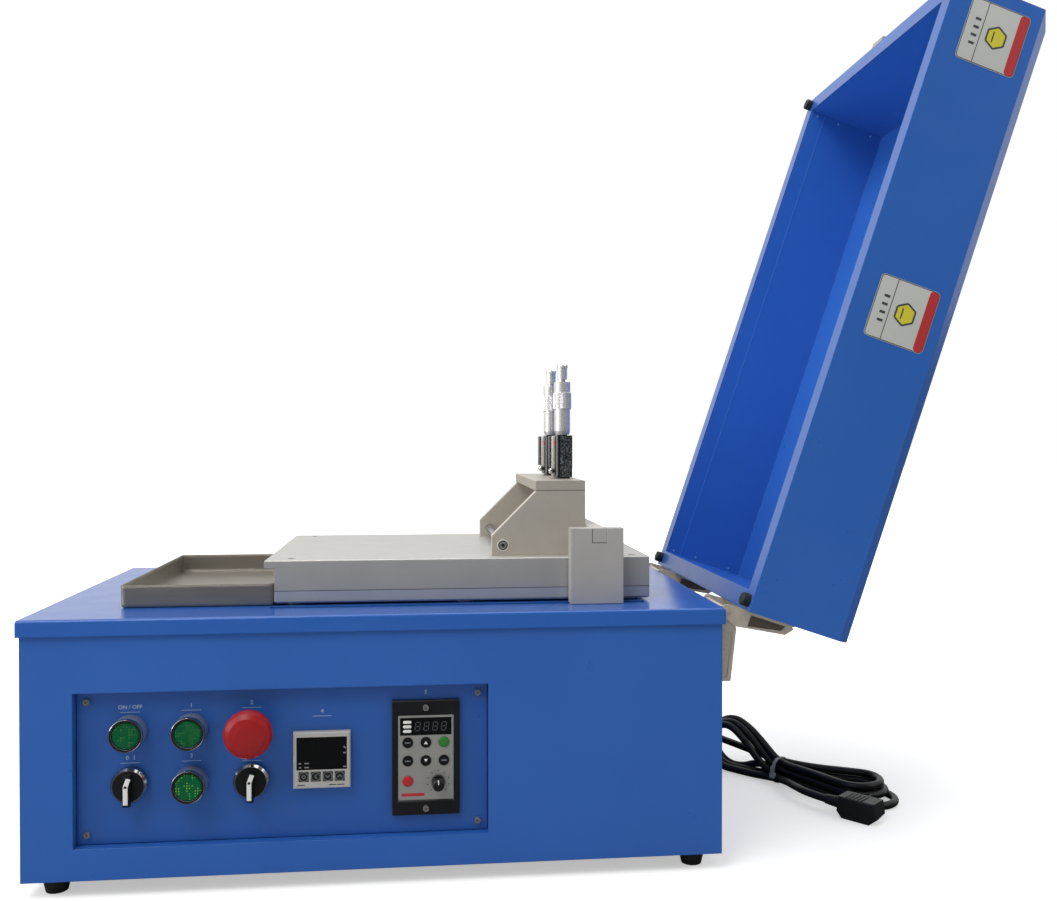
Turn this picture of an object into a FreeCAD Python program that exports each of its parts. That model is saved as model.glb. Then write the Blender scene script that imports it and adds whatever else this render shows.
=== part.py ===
import FreeCAD, Part
import math
import os
import re
import Sketcher

# A table-top film coater: a heated flat bed on a sheet-metal housing, an applicator with two
# micrometer heads that a motor-driven pusher bar moves along the bed, and a drying lid hinged
# at the right end. X runs right along the front, Y runs back and Z up. The origin is the
# centre of the four feet, on the bench.

document = FreeCAD.newDocument("film_coater")
sizes = document.addObject("Spreadsheet::Sheet", "Sizes")
places = document.addObject("Spreadsheet::Sheet", "Places")
next_row = {"Sizes": 1, "Places": 1}
homes = {}
WORD = re.compile(r"[a-z][a-z_0-9]*")


def linked(formula):
    """The formula with every size in it named by its sheet."""
    return WORD.sub(lambda word: homes.get(word.group(), "") + word.group(), str(formula))


def tabulate(sheet, heading, rows):
    """A heading, then one row for each name, whose cell has that name as its alias."""
    row = next_row[sheet.Name]
    sheet.set(f"A{row}", heading)
    for name, entry in rows.items():
        row += 1
        sheet.set(f"A{row}", name)
        sheet.set(f"B{row}", str(entry) if sheet is sizes else "=" + linked(entry))
        sheet.setAlias(f"B{row}", name)
        homes[name] = sheet.Name + "."
    next_row[sheet.Name] = row + 2


def size_table(heading):
    """A table in the sheet of sizes, of the values named since the last such table."""
    fresh = {name: number for name, number in globals().items()
             if isinstance(number, (int, float)) and name not in homes}
    tabulate(sizes, heading, fresh)


def value(formula):
    """What a formula of sizes comes to, in millimetres."""
    return float(sizes.evalExpression(linked(formula)))


cover_length = 600
cover_depth = 350
cover_height = 233
cover_lip = 14
cover_sheet = 2
cover_overhang = 3
cover_bend = 2.5
housing_sheet = 1.5
housing_flange = 12
foot_height = 15
foot_radius = 12.5
foot_tip_radius = 9
foot_inset = 22
vent_length = 60
vent_height = 4
vent_pitch = 12
size_table("Housing")
tabulate(places, "Housing", {
    "body_length": "cover_length - 2 * cover_overhang",
    "body_depth": "cover_depth - 2 * cover_overhang",
    "body_right": "body_length / 2",
    "body_front": "-body_depth / 2",
    "body_top": "cover_height - cover_sheet",
    "cover_right": "cover_length / 2",
    "foot_x": "body_right - foot_inset",
    "foot_y": "body_depth / 2 - foot_inset",
    "inner_length": "body_length - 2 * housing_sheet",
    "inner_depth": "body_depth - 2 * housing_sheet",
})
recess_left = -255
recess_width = 345
recess_bottom = 41.5
recess_height = 129.5
recess_depth = 9
recess_flange = 16
panel_sheet = 2
panel_margin = 0.5
panel_screw_inset = 9
panel_screw_radius = 2.5
size_table("Control recess")
tabulate(places, "Control recess", {
    "panel_front": "body_front + recess_depth",
    "panel_back": "panel_front + panel_sheet",
    "recess_right": "recess_left + recess_width",
    "recess_top": "recess_bottom + recess_height",
})
first_column = -211
column_pitch = 50
upper_row = 136.5
lower_row = 92
barrel_radius = 11
barrel_depth = 22
hole_gap = 0.3
contact_width = 28
contact_depth = 30
bezel_radius = 14
bezel_height = 15.5
cap_radius = 11.4
cap_height = 5
cap_sink = 0.3
press_travel = 3
stop_radius = 20
stop_height = 30
stop_collar_height = 8
stop_stem_radius = 6
stop_travel = 4
selector_radius = 15
selector_height = 8
selector_dial_radius = 12.5
selector_bar_width = 5.5
selector_bar_height = 8
selector_nose = 15.8
selector_tail = 11
size_table("Controls")
tabulate(places, "Controls", {
    "second_column": "first_column + column_pitch",
    "third_column": "first_column + 2 * column_pitch",
    "cap_bore": "cap_radius + hole_gap",
    "cap_floor": "bezel_height - cap_sink - cap_height - press_travel - 1.5",
})
thermo_x = -52
thermo_z = 108.5
thermo_size = 48
thermo_bezel = 6
thermo_body = 45
thermo_depth = 78
thermo_window_width = 42.4
thermo_window_height = 28
thermo_window_drop = 4.2
thermo_key_size = 8.6
thermo_key_pitch = 10.1
thermo_key_drop = 37.8
thermo_key_depth = 2.4
thermo_key_travel = 0.8
window_thickness = 1.2
size_table("Temperature controller")
speed_x = 36.3
speed_z = 107.5
speed_frame_width = 58
speed_frame_height = 99
speed_frame_depth = 5
speed_face_width = 47.6
speed_face_height = 73
speed_body_depth = 66
speed_window_width = 44
speed_window_height = 15
speed_window_drop = 2
speed_key_radius = 4.6
speed_key_squash = 0.8
speed_key_pitch_x = 15.5
speed_key_pitch_z = 15.8
speed_key_drop = 23.3
speed_key_proud = 0.5
speed_knob_x = 10.6
speed_knob_drop = 57.5
speed_knob_radius = 5.9
speed_knob_height = 13
speed_shaft_radius = 3
size_table("Speed controller")
tabulate(places, "Speed controller", {
    "speed_face_top": "speed_z + speed_face_height / 2",
    "speed_face_left": "speed_x - speed_face_width / 2",
    "speed_face_y": "panel_front - speed_frame_depth + 0.6",
    "thermo_face_y": "panel_front - thermo_bezel",
    "thermo_left": "thermo_x - thermo_size / 2",
    "thermo_top": "thermo_z + thermo_size / 2",
})
bed_left = -98
bed_right = 243
bed_depth = 240
bed_gap = 2
bed_base_height = 11
bed_plate_height = 27.5
bed_lip = 9
bed_lip_height = 7
heater_inset = 20
heater_height = 3
spacer_radius = 8
spacer_inset = 16
bed_screw_radius = 3.4
bed_screw_head = 2
bed_screw_inset = 14
size_table("Heated bed")
tabulate(places, "Heated bed", {
    "bed_length": "bed_right - bed_left",
    "bed_base_bottom": "cover_height + bed_gap",
    "bed_plate_bottom": "bed_base_bottom + bed_base_height",
    "bed_top": "bed_plate_bottom + bed_plate_height",
})
tray_length = 132.5
tray_height = 20
tray_sheet = 1.2
tray_corner = 4
tray_gap = 0.5
size_table("Spill tray")
tabulate(places, "Spill tray", {
    "tray_right": "bed_left - tray_gap",
    "tray_left": "tray_right - tray_length",
})
upright_left = 166.6
upright_length = 48
upright_thickness = 16
upright_height = 68.4
upright_gap = 0.3
bed_side_gap = 4
bar_size = 13
bar_fit = 0.15
bar_left = 186.2
tongue_length = 40
tongue_thickness = 8
slot_width = 10
slot_left = -100
slot_right = 236
stroke = 200
drive_drop = 49
crosshead_length = 30
crosshead_top = 216
crosshead_height = 16
screw_radius = 6
rod_radius = 6
rod_y = 95
running_gap = 0.05
block_length = 10
block_left = -122
block_right = 245
block_half_depth = 112
block_bottom = 168
motor_size = 60
motor_length = 96
coupling_radius = 12
coupling_length = 26
motor_shaft_radius = 4
size_table("Pusher drive")
tabulate(places, "Pusher drive", {
    "drive_height": "cover_height - drive_drop",
    "tray_depth": "bed_depth",
    "upright_inner_y": "bed_depth / 2 + bed_side_gap",
    "upright_outer_y": "upright_inner_y + upright_thickness",
    "upright_right": "upright_left + upright_length",
    "upright_top": "cover_height + upright_height",
    "upright_middle": "upright_left + upright_length / 2",
    "crosshead_left": "upright_middle - crosshead_length / 2",
    "crosshead_bottom": "crosshead_top - crosshead_height",
    "tongue_inner_y": "upright_inner_y",
    "coupling_right": "block_left - 6",
    "coupling_left": "coupling_right - coupling_length",
    "motor_right": "coupling_left - 4",
})
applicator_right = 186
applicator_length = 88
applicator_width = 200
cheek_thickness = 12
cheek_nose = 18
cheek_height = 60.3
crossbar_length = 47
crossbar_height = 9.2
tie_inset = 10.5
tie_height = 9.3
tie_radius = 4
tie_head_radius = 4.6
tie_head_depth = 5
blade_left = 166
blade_thickness = 12
blade_height = 52
blade_bevel = 12
blade_edge = 3
blade_rest = 0.2
blade_side_gap = 0.3
applicator_lift = 0.05
size_table("Applicator")
tabulate(places, "Applicator", {
    "applicator_left": "applicator_right - applicator_length",
    "applicator_floor": "bed_top + applicator_lift",
    "crossbar_bottom": "applicator_floor + cheek_height",
    "crossbar_top": "crossbar_bottom + crossbar_height",
    "cheek_y": "applicator_width / 2",
    "blade_top": "applicator_floor + blade_rest + blade_height",
})
head_spacing = 86
head_x = 172
frame_length = 16
frame_width = 30
frame_height = 41
frame_foot = 1.5
frame_foot_inset = 2
lock_ball_radius = 2.8
sleeve_radius = 5
sleeve_height = 40
spindle_radius = 3.175
spindle_gap = 0.075
spindle_end_gap = 0.2
thimble_gap = 0.1
thimble_clear = 0.6
thimble_tip_radius = 6.8
thimble_radius = 7.9
thimble_taper = 4
thimble_plain = 21
grip_radius = 8.75
grip_height = 17
thimble_head_radius = 8.15
thimble_head_height = 10
neck_radius = 3.2
neck_height = 3
ratchet_radius = 5
ratchet_height = 14
size_table("Micrometer heads")
tabulate(places, "Micrometer heads", {
    "head_base": "crossbar_top + frame_foot + frame_height",
    "spindle_end": "blade_top + spindle_end_gap - head_base",
    "taper_top": "thimble_clear + thimble_taper",
    "plain_top": "taper_top + thimble_plain",
    "grip_top": "plain_top + grip_height",
    "thimble_top": "grip_top + thimble_head_height",
    "neck_top": "thimble_top + neck_height",
    "ratchet_top": "neck_top + ratchet_height",
})
lid_open_angle = 108.6
lid_height = 100
lid_sheet = 1.5
lid_chamfer = 12
hem_width = 18
liner_step = 1.2
liner_sheet = 1.2
liner_flange = 6
liner_height = 94
bumper_radius = 6
bumper_height = 7.5
bumper_inset = 9
closed_gap = 0.3
pin_outset = 6
pin_drop = 5
pin_radius = 2.5
pin_gap = 0.05
lug_radius = 5.5
size_table("Lid")
tabulate(places, "Lid", {
    "pin_x": "cover_right + pin_outset",
    "pin_z": "cover_height - pin_drop",
    "rim_z": "pin_drop + bumper_height + closed_gap",
    "lid_left": "-pin_outset - cover_length",
    "lid_top": "rim_z + lid_height",
    "liner_left": "lid_left + hem_width - liner_step",
    "liner_length": "cover_length - 2 * (hem_width - liner_step)",
    "liner_depth": "cover_depth - 2 * (hem_width - liner_step)",
    "liner_bottom": "rim_z + lid_sheet",
})
hinge_width = 64
hinge_inset = 19
hinge_sheet = 2
hinge_nest = 0.5
arm_length = 52
arm_root_depth = 17.5
arm_tip_depth = 11
leaf_top = 215.5
leaf_height = 52
leaf_top_depth = 18.6
leaf_bottom_depth = 13.3
emboss_depth = 0.6
emboss_margin = 3.5
size_table("Hinges")
tabulate(places, "Hinges", {
    "leaf_bottom": "leaf_top - leaf_height",
    "leaf_inset": "hinge_sheet + hinge_nest",
    "leaf_width": "hinge_width - 2 * leaf_inset",
    "arm_tip_z": "rim_z + arm_length",
})
latch_width = 26
latch_sheet = 2
latch_drop = 83
latch_height = 56
latch_pivot_out = 7
latch_pivot_drop = 37
latch_pin_radius = 1.8
lever_length = 40
lever_width = 20
bail_radius = 1.5
bail_height = 52
bail_width = 32
bail_pivot_out = 13
keeper_width = 24
keeper_height = 14
keeper_reach = 10
keeper_hook = 6
keeper_offset = 3
size_table("Latch")
tabulate(places, "Latch", {
    "latch_bottom": "cover_height - latch_drop",
    "latch_pivot_z": "cover_height - latch_pivot_drop",
    "latch_x": "-body_right - latch_pivot_out",
    "bail_x": "-body_right - bail_pivot_out",
})
supply_left = 60
supply_length = 160
supply_depth = 98
supply_height = 42
supply_front = 20
relay_left = -40
relay_length = 58
relay_depth = 45
relay_height = 30
relay_front = 40
size_table("Electrics")
gland_y = 150
gland_z = 40
gland_radius = 10
gland_shank_radius = 7
gland_length = 16
cord_radius = 4
hank_x = 371
hank_y = 126
hank_turn = 50
hank_length = 232
hank_end = 16
hank_loop = 18
hank_waist = 14
hank_waist_at = 96
hank_near_bulge = 20
hank_far_bulge = 34
hank_height = 62
hank_waist_height = 33
hank_end_height = 22
plug_at = 212
plug_offset = -49
plug_length = 40
plug_depth = 22
plug_height = 22
relief_length = 16
relief_radius = 6
blade_pin_length = 17
size_table("Mains lead")
document.recompute()

UPRIGHT_TURN = {
    "Z": FreeCAD.Rotation(),
    "X": FreeCAD.Rotation(FreeCAD.Vector(0, 1, 0), 90),
    "Y": FreeCAD.Rotation(FreeCAD.Vector(1, 0, 0), -90),
    "-Y": FreeCAD.Rotation(FreeCAD.Vector(1, 0, 0), 90),
}


def bind(item, prefix="", **formulas):
    """Ties properties of an object to formulas of the sheets."""
    for name, formula in formulas.items():
        item.setExpression(prefix + name, linked(formula))


def put(item, spot, along="Z"):
    """Turns an object's own Z to the named direction and ties its origin to a spot."""
    item.Placement = FreeCAD.Placement(FreeCAD.Vector(), UPRIGHT_TURN[along])
    for letter, formula in zip("xyz", spot):
        item.setExpression("Placement.Base." + letter, linked(formula))


def runs(letter):
    """Picks straight edges that run along one axis."""
    def chosen(edge):
        ends = edge.Vertexes[-1].Point - edge.Vertexes[0].Point
        others = [abs(getattr(ends, other)) for other in "xyz" if other != letter]
        return len(edge.Vertexes) == 2 and edge.Curve.TypeId == "Part::GeomLine" and max(others) < 1e-6
    return chosen


def lies(letter, formula):
    """Picks edges that lie wholly at one height, depth or place along an axis."""
    level = value(formula)

    def chosen(edge):
        return all(abs(getattr(vertex.Point, letter) - level) < 1e-4 for vertex in edge.Vertexes)
    return chosen


class Piece:
    """One sub-part: a body whose features are tied to the sheets."""

    def __init__(self, name):
        self.body = document.addObject("PartDesign::Body", name)
        self.features = 0

    def feature(self, kind):
        self.features += 1
        return self.body.newObject("PartDesign::" + kind, f"{self.body.Name}_{self.features}")

    def plane(self, role):
        return next(item for item in self.body.Origin.OriginFeatures if item.Role == role)

    def block(self, size, spot, kind="Additive"):
        made = self.feature(kind + "Box")
        bind(made, Length=size[0], Width=size[1], Height=size[2])
        put(made, spot)
        return self

    def cut_block(self, size, spot):
        return self.block(size, spot, "Subtractive")

    def rod(self, radius, length, spot, along="Z", kind="Additive"):
        made = self.feature(kind + "Cylinder")
        bind(made, Radius=radius, Height=length)
        put(made, spot, along)
        return self

    def bore(self, radius, length, spot, along="Z"):
        return self.rod(radius, length, spot, along, "Subtractive")

    def ball(self, radius, spot):
        made = self.feature("AdditiveSphere")
        bind(made, Radius=radius)
        put(made, spot)
        return self

    def outline(self, plane, corners, start="0"):
        """A closed sketch of straight lines whose corners are tied to the sheets."""
        self.features += 1
        sketch = self.body.newObject("Sketcher::SketchObject", f"{self.body.Name}_{self.features}")
        sketch.AttachmentSupport = (self.plane(plane + "_Plane"), [""])
        sketch.MapMode = "FlatFace"
        bind(sketch, "AttachmentOffset.Base.", z=f"-({start})" if plane == "XZ" else start)
        points = [FreeCAD.Vector(value(across), value(up), 0) for across, up in corners]
        for number, point in enumerate(points):
            sketch.addGeometry(Part.LineSegment(point, points[(number + 1) % len(points)]), False)
        for number in range(len(points)):
            following = (number + 1) % len(points)
            sketch.addConstraint(Sketcher.Constraint("Coincident", number, 2, following, 1))
        for number, (point, corner) in enumerate(zip(points, corners)):
            for kind, amount, formula in zip(("DistanceX", "DistanceY"), point, corner):
                held = sketch.addConstraint(Sketcher.Constraint(kind, -1, 1, number, 1, amount))
                sketch.setExpression(f"Constraints[{held}]", linked(formula))
        return sketch

    def pad(self, plane, corners, start, length):
        """A plate with this outline, from start on by its length, along the plane's axis."""
        sketch = self.outline(plane, corners, start)
        made = self.feature("Pad")
        made.Profile = sketch
        made.Reversed = plane == "XZ"
        bind(made, Length=length)
        return self

    def pocket(self, plane, corners, start, length):
        """A cut with this outline, from start on by its length, along the plane's axis."""
        sketch = self.outline(plane, corners, start)
        made = self.feature("Pocket")
        made.Profile = sketch
        made.Reversed = plane != "XZ"
        bind(made, Length=length)
        return self

    def turned(self, corners, kind="Revolution"):
        """A turned solid: corners are radius and height about the body's own Z axis."""
        sketch = self.outline("XZ", corners)
        made = self.feature(kind)
        made.Profile = sketch
        made.ReferenceAxis = (self.plane("Z_Axis"), [""])
        return self

    def dress(self, kind, amount, *rules):
        """A fillet or chamfer along the edges that pass every rule."""
        document.recompute()
        base = self.body.Tip
        edges = enumerate(base.Shape.Edges, 1)
        names = [f"Edge{number}" for number, edge in edges if all(rule(edge) for rule in rules)]
        made = self.feature(kind)
        made.Base = (base, names)
        bind(made, **{"Radius" if kind == "Fillet" else "Size": amount})
        self.body.Tip = made
        return self

    def at(self, spot, along="Z"):
        put(self.body, spot, along)
        return self

    def swung(self, axis, angle, spot):
        """Turned about one axis by an angle of the sheets, then moved to its spot."""
        bind(self.body, "Placement.Rotation.Axis.", **dict(zip("xyz", axis)))
        bind(self.body, "Placement.Rotation.", Angle=angle)
        bind(self.body, "Placement.Base.", **dict(zip("xyz", spot)))
        return self

    def on_lid(self):
        """Carried by the lid: drawn closed about the hinge pin, then swung to the open angle."""
        return self.swung(("0", "1", "0"), "lid_open_angle", ("pin_x", "0", "pin_z"))

    def by_hank(self, along="0", aside="0"):
        """Laid on the bench by the tied mains lead, so far along it and beside it."""
        spot = (f"hank_x + ({along}) * cos(hank_turn) + ({aside}) * sin(hank_turn)",
                f"hank_y - ({along}) * sin(hank_turn) + ({aside}) * cos(hank_turn)", "0")
        return self.swung(("0", "0", "1"), "-hank_turn", spot)


nodes = {}


def keep(name, *pieces):
    """Names a finished sub-part. Several like solids become one group."""
    bodies = [getattr(piece, "body", piece) for piece in pieces]
    if len(bodies) == 1:
        nodes[name] = bodies[0]
    else:
        group = document.addObject("Part::Compound", name + "_group")
        group.Links = bodies
        nodes[name] = group
    nodes[name].Label = name


def numbered(name, spots):
    """A piece for each spot, with the spot beside it."""
    return [(Piece(f"{name}_{number}"), spot) for number, spot in enumerate(spots, 1)]


def on_both_sides(x, y):
    """The four mirrored corners of a rectangle about the Z axis."""
    return [(f"{across}({x})", f"{back}({y})") for across in ("-", "") for back in ("-", "")]


def housing_shell():
    """Folded wrap of four walls with an inward top flange, and the pan round the controls."""
    shell = Piece("housing_wrap")
    shell.block(("body_length", "body_depth", "body_top - foot_height"),
                ("-body_right", "body_front", "foot_height"))
    shell.cut_block(("inner_length", "inner_depth", "body_top - foot_height - housing_sheet"),
                    ("-inner_length / 2", "-inner_depth / 2", "foot_height"))
    shell.cut_block(("inner_length - 2 * housing_flange", "inner_depth - 2 * housing_flange", "10"),
                    ("housing_flange - inner_length / 2", "housing_flange - inner_depth / 2",
                     "body_top - 5"))
    shell.block(("recess_width + 2 * housing_sheet", "recess_depth + panel_sheet + housing_sheet",
                 "recess_height + 2 * housing_sheet"),
                ("recess_left - housing_sheet", "body_front", "recess_bottom - housing_sheet"))
    shell.cut_block(("recess_width", "recess_depth + panel_sheet", "recess_height"),
                    ("recess_left", "body_front", "recess_bottom"))
    shell.cut_block(("recess_width - 2 * recess_flange", "3 * recess_depth",
                     "recess_height - 2 * recess_flange"),
                    ("recess_left + recess_flange", "body_front", "recess_bottom + recess_flange"))
    for step in range(6):
        for side in ("-150", "90"):
            shell.cut_block(("vent_length", "8", "vent_height"),
                            (side, "-body_front - 4", f"80 + {step} * vent_pitch"))
    shell.bore("gland_shank_radius + hole_gap", "10", ("body_right - 5", "gland_y", "gland_z"), "X")
    keep("housing_shell", shell)


def bottom_plate():
    """Floor of the housing, a pan whose edges turn up inside the walls."""
    plate = Piece("floor_pan")
    plate.block(("inner_length", "inner_depth", "housing_flange"),
                ("-inner_length / 2", "-inner_depth / 2", "foot_height"))
    plate.cut_block(("inner_length - 2 * housing_sheet", "inner_depth - 2 * housing_sheet",
                     "housing_flange"),
                    ("housing_sheet - inner_length / 2", "housing_sheet - inner_depth / 2",
                     "foot_height + housing_sheet"))
    keep("bottom_plate", plate)


def top_cover():
    """Folded cover with a lip all round and the two slots that the pusher runs in."""
    cover = Piece("cover_pan")
    cover.block(("cover_length", "cover_depth", "cover_lip"),
                ("-cover_right", "-cover_depth / 2", "cover_height - cover_lip"))
    cover.dress("Fillet", "cover_bend", runs("z"))
    cover.dress("Fillet", "cover_bend", lies("z", "cover_height"))
    cover.cut_block(("cover_length - 2 * cover_sheet", "cover_depth - 2 * cover_sheet", "cover_lip"),
                    ("cover_sheet - cover_right", "cover_sheet - cover_depth / 2",
                     "cover_height - cover_lip - cover_sheet"))
    for near in ("-tongue_inner_y - tongue_thickness / 2 - slot_width / 2",
                 "tongue_inner_y + tongue_thickness / 2 - slot_width / 2"):
        cover.cut_block(("slot_right - slot_left", "slot_width", "10"),
                        ("slot_left", near, "cover_height - 5"))
    keep("top_cover", cover)


def feet():
    """Four tapered rubber feet."""
    pieces = numbered("foot", on_both_sides("foot_x", "foot_y"))
    for piece, (x, y) in pieces:
        piece.turned([("0", "0"), ("foot_tip_radius", "0"), ("foot_radius", "foot_height"),
                      ("0", "foot_height")])
        piece.at((x, y, "0"))
    keep("feet", *[piece for piece, spot in pieces])


def control_panel():
    """Plate at the back of the recess, with a hole for each control."""
    plate = Piece("panel_plate")
    plate.block(("recess_width - 2 * panel_margin", "panel_sheet", "recess_height - 2 * panel_margin"),
                ("recess_left + panel_margin", "panel_front", "recess_bottom + panel_margin"))
    for column in ("first_column", "second_column", "third_column"):
        for row in ("upper_row", "lower_row"):
            plate.bore("barrel_radius + hole_gap", "10", (column, "panel_front - 5", row), "Y")
    for width, height, x, z in (
        ("thermo_body", "thermo_body", "thermo_x", "thermo_z"),
        ("speed_face_width", "speed_face_height", "speed_x", "speed_z"),
    ):
        plate.cut_block((f"{width} + 2 * hole_gap", "10", f"{height} + 2 * hole_gap"),
                        (f"{x} - {width} / 2 - hole_gap", "panel_front - 5",
                         f"{z} - {height} / 2 - hole_gap"))
    keep("control_panel", plate)


def panel_screws():
    """Socket screws at the panel's corners and in the speed controller's frame."""
    corners = [(x, "panel_front", z)
               for x in ("recess_left + panel_screw_inset", "recess_right - panel_screw_inset")
               for z in ("recess_bottom + panel_screw_inset", "recess_top - panel_screw_inset")]
    frame = [("speed_x", "panel_front - speed_frame_depth", f"speed_z {sign} speed_frame_height / 2"
              f" {other} 6") for sign, other in (("-", "+"), ("+", "-"))]
    pieces = numbered("panel_screw", corners + frame)
    for piece, spot in pieces:
        piece.turned([("0", "1"), ("1.3", "1"), ("1.3", "2.6"), ("panel_screw_radius", "2.6"),
                      ("panel_screw_radius", "0"), ("0", "0")])
        piece.at(spot, "-Y")
    keep("panel_screws", *[piece for piece, spot in pieces])


def barrel(piece):
    """What every round control has behind the panel: threaded barrel, nut and contact block."""
    piece.rod("barrel_radius", "barrel_depth + 1", ("0", "0", "-barrel_depth"))
    piece.rod("barrel_radius + 2.5", "4", ("0", "0", "-panel_sheet - housing_sheet - 4.5"))
    piece.block(("contact_width", "contact_width", "contact_depth"),
                ("-contact_width / 2", "-contact_width / 2", "-barrel_depth - contact_depth"))


def push_buttons():
    """Three push buttons, each a bezel on a barrel with a coloured cap that springs in it."""
    spots = [("power", "first_column", "upper_row"), ("start", "second_column", "upper_row"),
             ("heating", "second_column", "lower_row")]
    bezels = []
    for name, x, z in spots:
        bezel = Piece(f"{name}_bezel")
        bezel.turned([("0", "0"), ("bezel_radius", "0"), ("bezel_radius", "bezel_height - 0.8"),
                      ("bezel_radius - 0.8", "bezel_height"), ("cap_bore", "bezel_height"),
                      ("cap_bore", "cap_floor"), ("0", "cap_floor")])
        barrel(bezel)
        bezel.at((x, "panel_front", z), "-Y")
        bezels.append(bezel)
        cap = Piece(f"{name}_lens")
        cap.turned([("0", "0"), ("cap_radius", "0"), ("cap_radius", "cap_height - 1"),
                    ("cap_radius - 1", "cap_height - 0.2"), ("0", "cap_height")])
        cap.at((x, "panel_front - bezel_height + cap_sink + cap_height", z), "-Y")
        keep(f"{name}_cap", cap)
    keep("push_button_bezels", *bezels)


def emergency_stop():
    """Mushroom head on a sliding stem, in a collar with its barrel."""
    collar = Piece("stop_collar")
    collar.turned([("0", "0"), ("bezel_radius", "0"), ("bezel_radius", "stop_collar_height"),
                   ("0", "stop_collar_height")])
    barrel(collar)
    collar.bore("stop_stem_radius + hole_gap", "stop_collar_height + 20", ("0", "0", "-12"))
    collar.at(("third_column", "panel_front", "upper_row"), "-Y")
    keep("stop_base", collar)
    head = Piece("stop_mushroom")
    rim = "stop_height * 0.45"
    head.turned([("0", "-4"), ("stop_stem_radius", "-4"), ("stop_stem_radius", rim),
                 ("stop_radius - 5", rim), ("stop_radius - 1", f"{rim} + 2"),
                 ("stop_radius", f"{rim} + 4.5"), ("stop_radius", f"{rim} + 9"),
                 ("stop_radius - 1.6", f"{rim} + 12"), ("stop_radius * 0.72", "stop_height - 2"),
                 ("stop_radius * 0.42", "stop_height - 0.5"), ("0", "stop_height")])
    head.at(("third_column", "panel_front", "upper_row"), "-Y")
    keep("stop_head", head)


def selectors():
    """Two rotary selectors: chrome bezel, and a black dial with a grip bar across it."""
    bezels = []
    for name, x in (("mode", "first_column"), ("direction", "third_column")):
        bezel = Piece(f"{name}_bezel")
        bezel.turned([("0", "0"), ("selector_radius", "0"),
                      ("selector_radius", "selector_height - 2"),
                      ("selector_radius - 1.6", "selector_height"),
                      ("selector_dial_radius + hole_gap", "selector_height"),
                      ("selector_dial_radius + hole_gap", "2"), ("0", "2")])
        barrel(bezel)
        bezel.at((x, "panel_front", "lower_row"), "-Y")
        bezels.append(bezel)
        knob = Piece(f"{name}_dial")
        knob.rod("selector_dial_radius", "selector_height - 1.2", ("0", "0", "2.3"))
        knob.pad("YZ", [("-selector_nose", "selector_height + 1"),
                        ("selector_tail", "selector_height + 1"),
                        ("selector_tail - 2.5", "selector_height + selector_bar_height - 1"),
                        ("1", "selector_height + selector_bar_height"),
                        ("2 - selector_nose", "selector_height + selector_bar_height - 1"),
                        ("-selector_nose", "selector_height + selector_bar_height - 4")],
                 "-selector_bar_width / 2", "selector_bar_width")
        knob.at((x, "panel_front", "lower_row"), "-Y")
        keep(f"{name}_knob", knob)
    keep("selector_bezels", *bezels)


def temperature_controller():
    """Square panel instrument with a dark window and four keys below it."""
    case = Piece("thermo_case")
    case.block(("thermo_size", "thermo_bezel", "thermo_size"),
               ("thermo_left", "thermo_face_y", "thermo_top - thermo_size"))
    case.dress("Chamfer", "1", lies("y", "thermo_face_y"))
    case.block(("thermo_body", "thermo_depth", "thermo_body"),
               ("thermo_x - thermo_body / 2", "panel_front - 1", "thermo_z - thermo_body / 2"))
    window_x = "thermo_x - thermo_window_width / 2"
    window_z = "thermo_top - thermo_window_drop - thermo_window_height"
    case.cut_block(("thermo_window_width", "window_thickness + 1", "thermo_window_height"),
                   (window_x, "thermo_face_y - 1 + 0.6", window_z))
    window = Piece("thermo_glass")
    window.block(("thermo_window_width - 0.2", "window_thickness", "thermo_window_height - 0.2"),
                 (f"{window_x} + 0.1", "thermo_face_y + 0.6", f"{window_z} + 0.1"))
    key_z = "thermo_top - thermo_key_drop - thermo_key_size / 2"
    for number in range(4):
        key_x = f"thermo_x + ({number} - 1.5) * thermo_key_pitch - thermo_key_size / 2"
        case.cut_block(("thermo_key_size", "thermo_key_depth + 1", "thermo_key_size"),
                       (key_x, "thermo_face_y - 1", key_z))
        key = Piece(f"thermo_button_{number + 1}")
        key.block(("thermo_key_size - 0.4", "thermo_key_depth - thermo_key_travel",
                   "thermo_key_size - 0.4"),
                  (f"{key_x} + 0.2", "thermo_face_y - 0.3", f"{key_z} + 0.2"))
        key.dress("Chamfer", "1.4", runs("y"))
        keep(f"thermo_key_{number + 1}", key)
    keep("temperature_controller", case)
    return window


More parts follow.
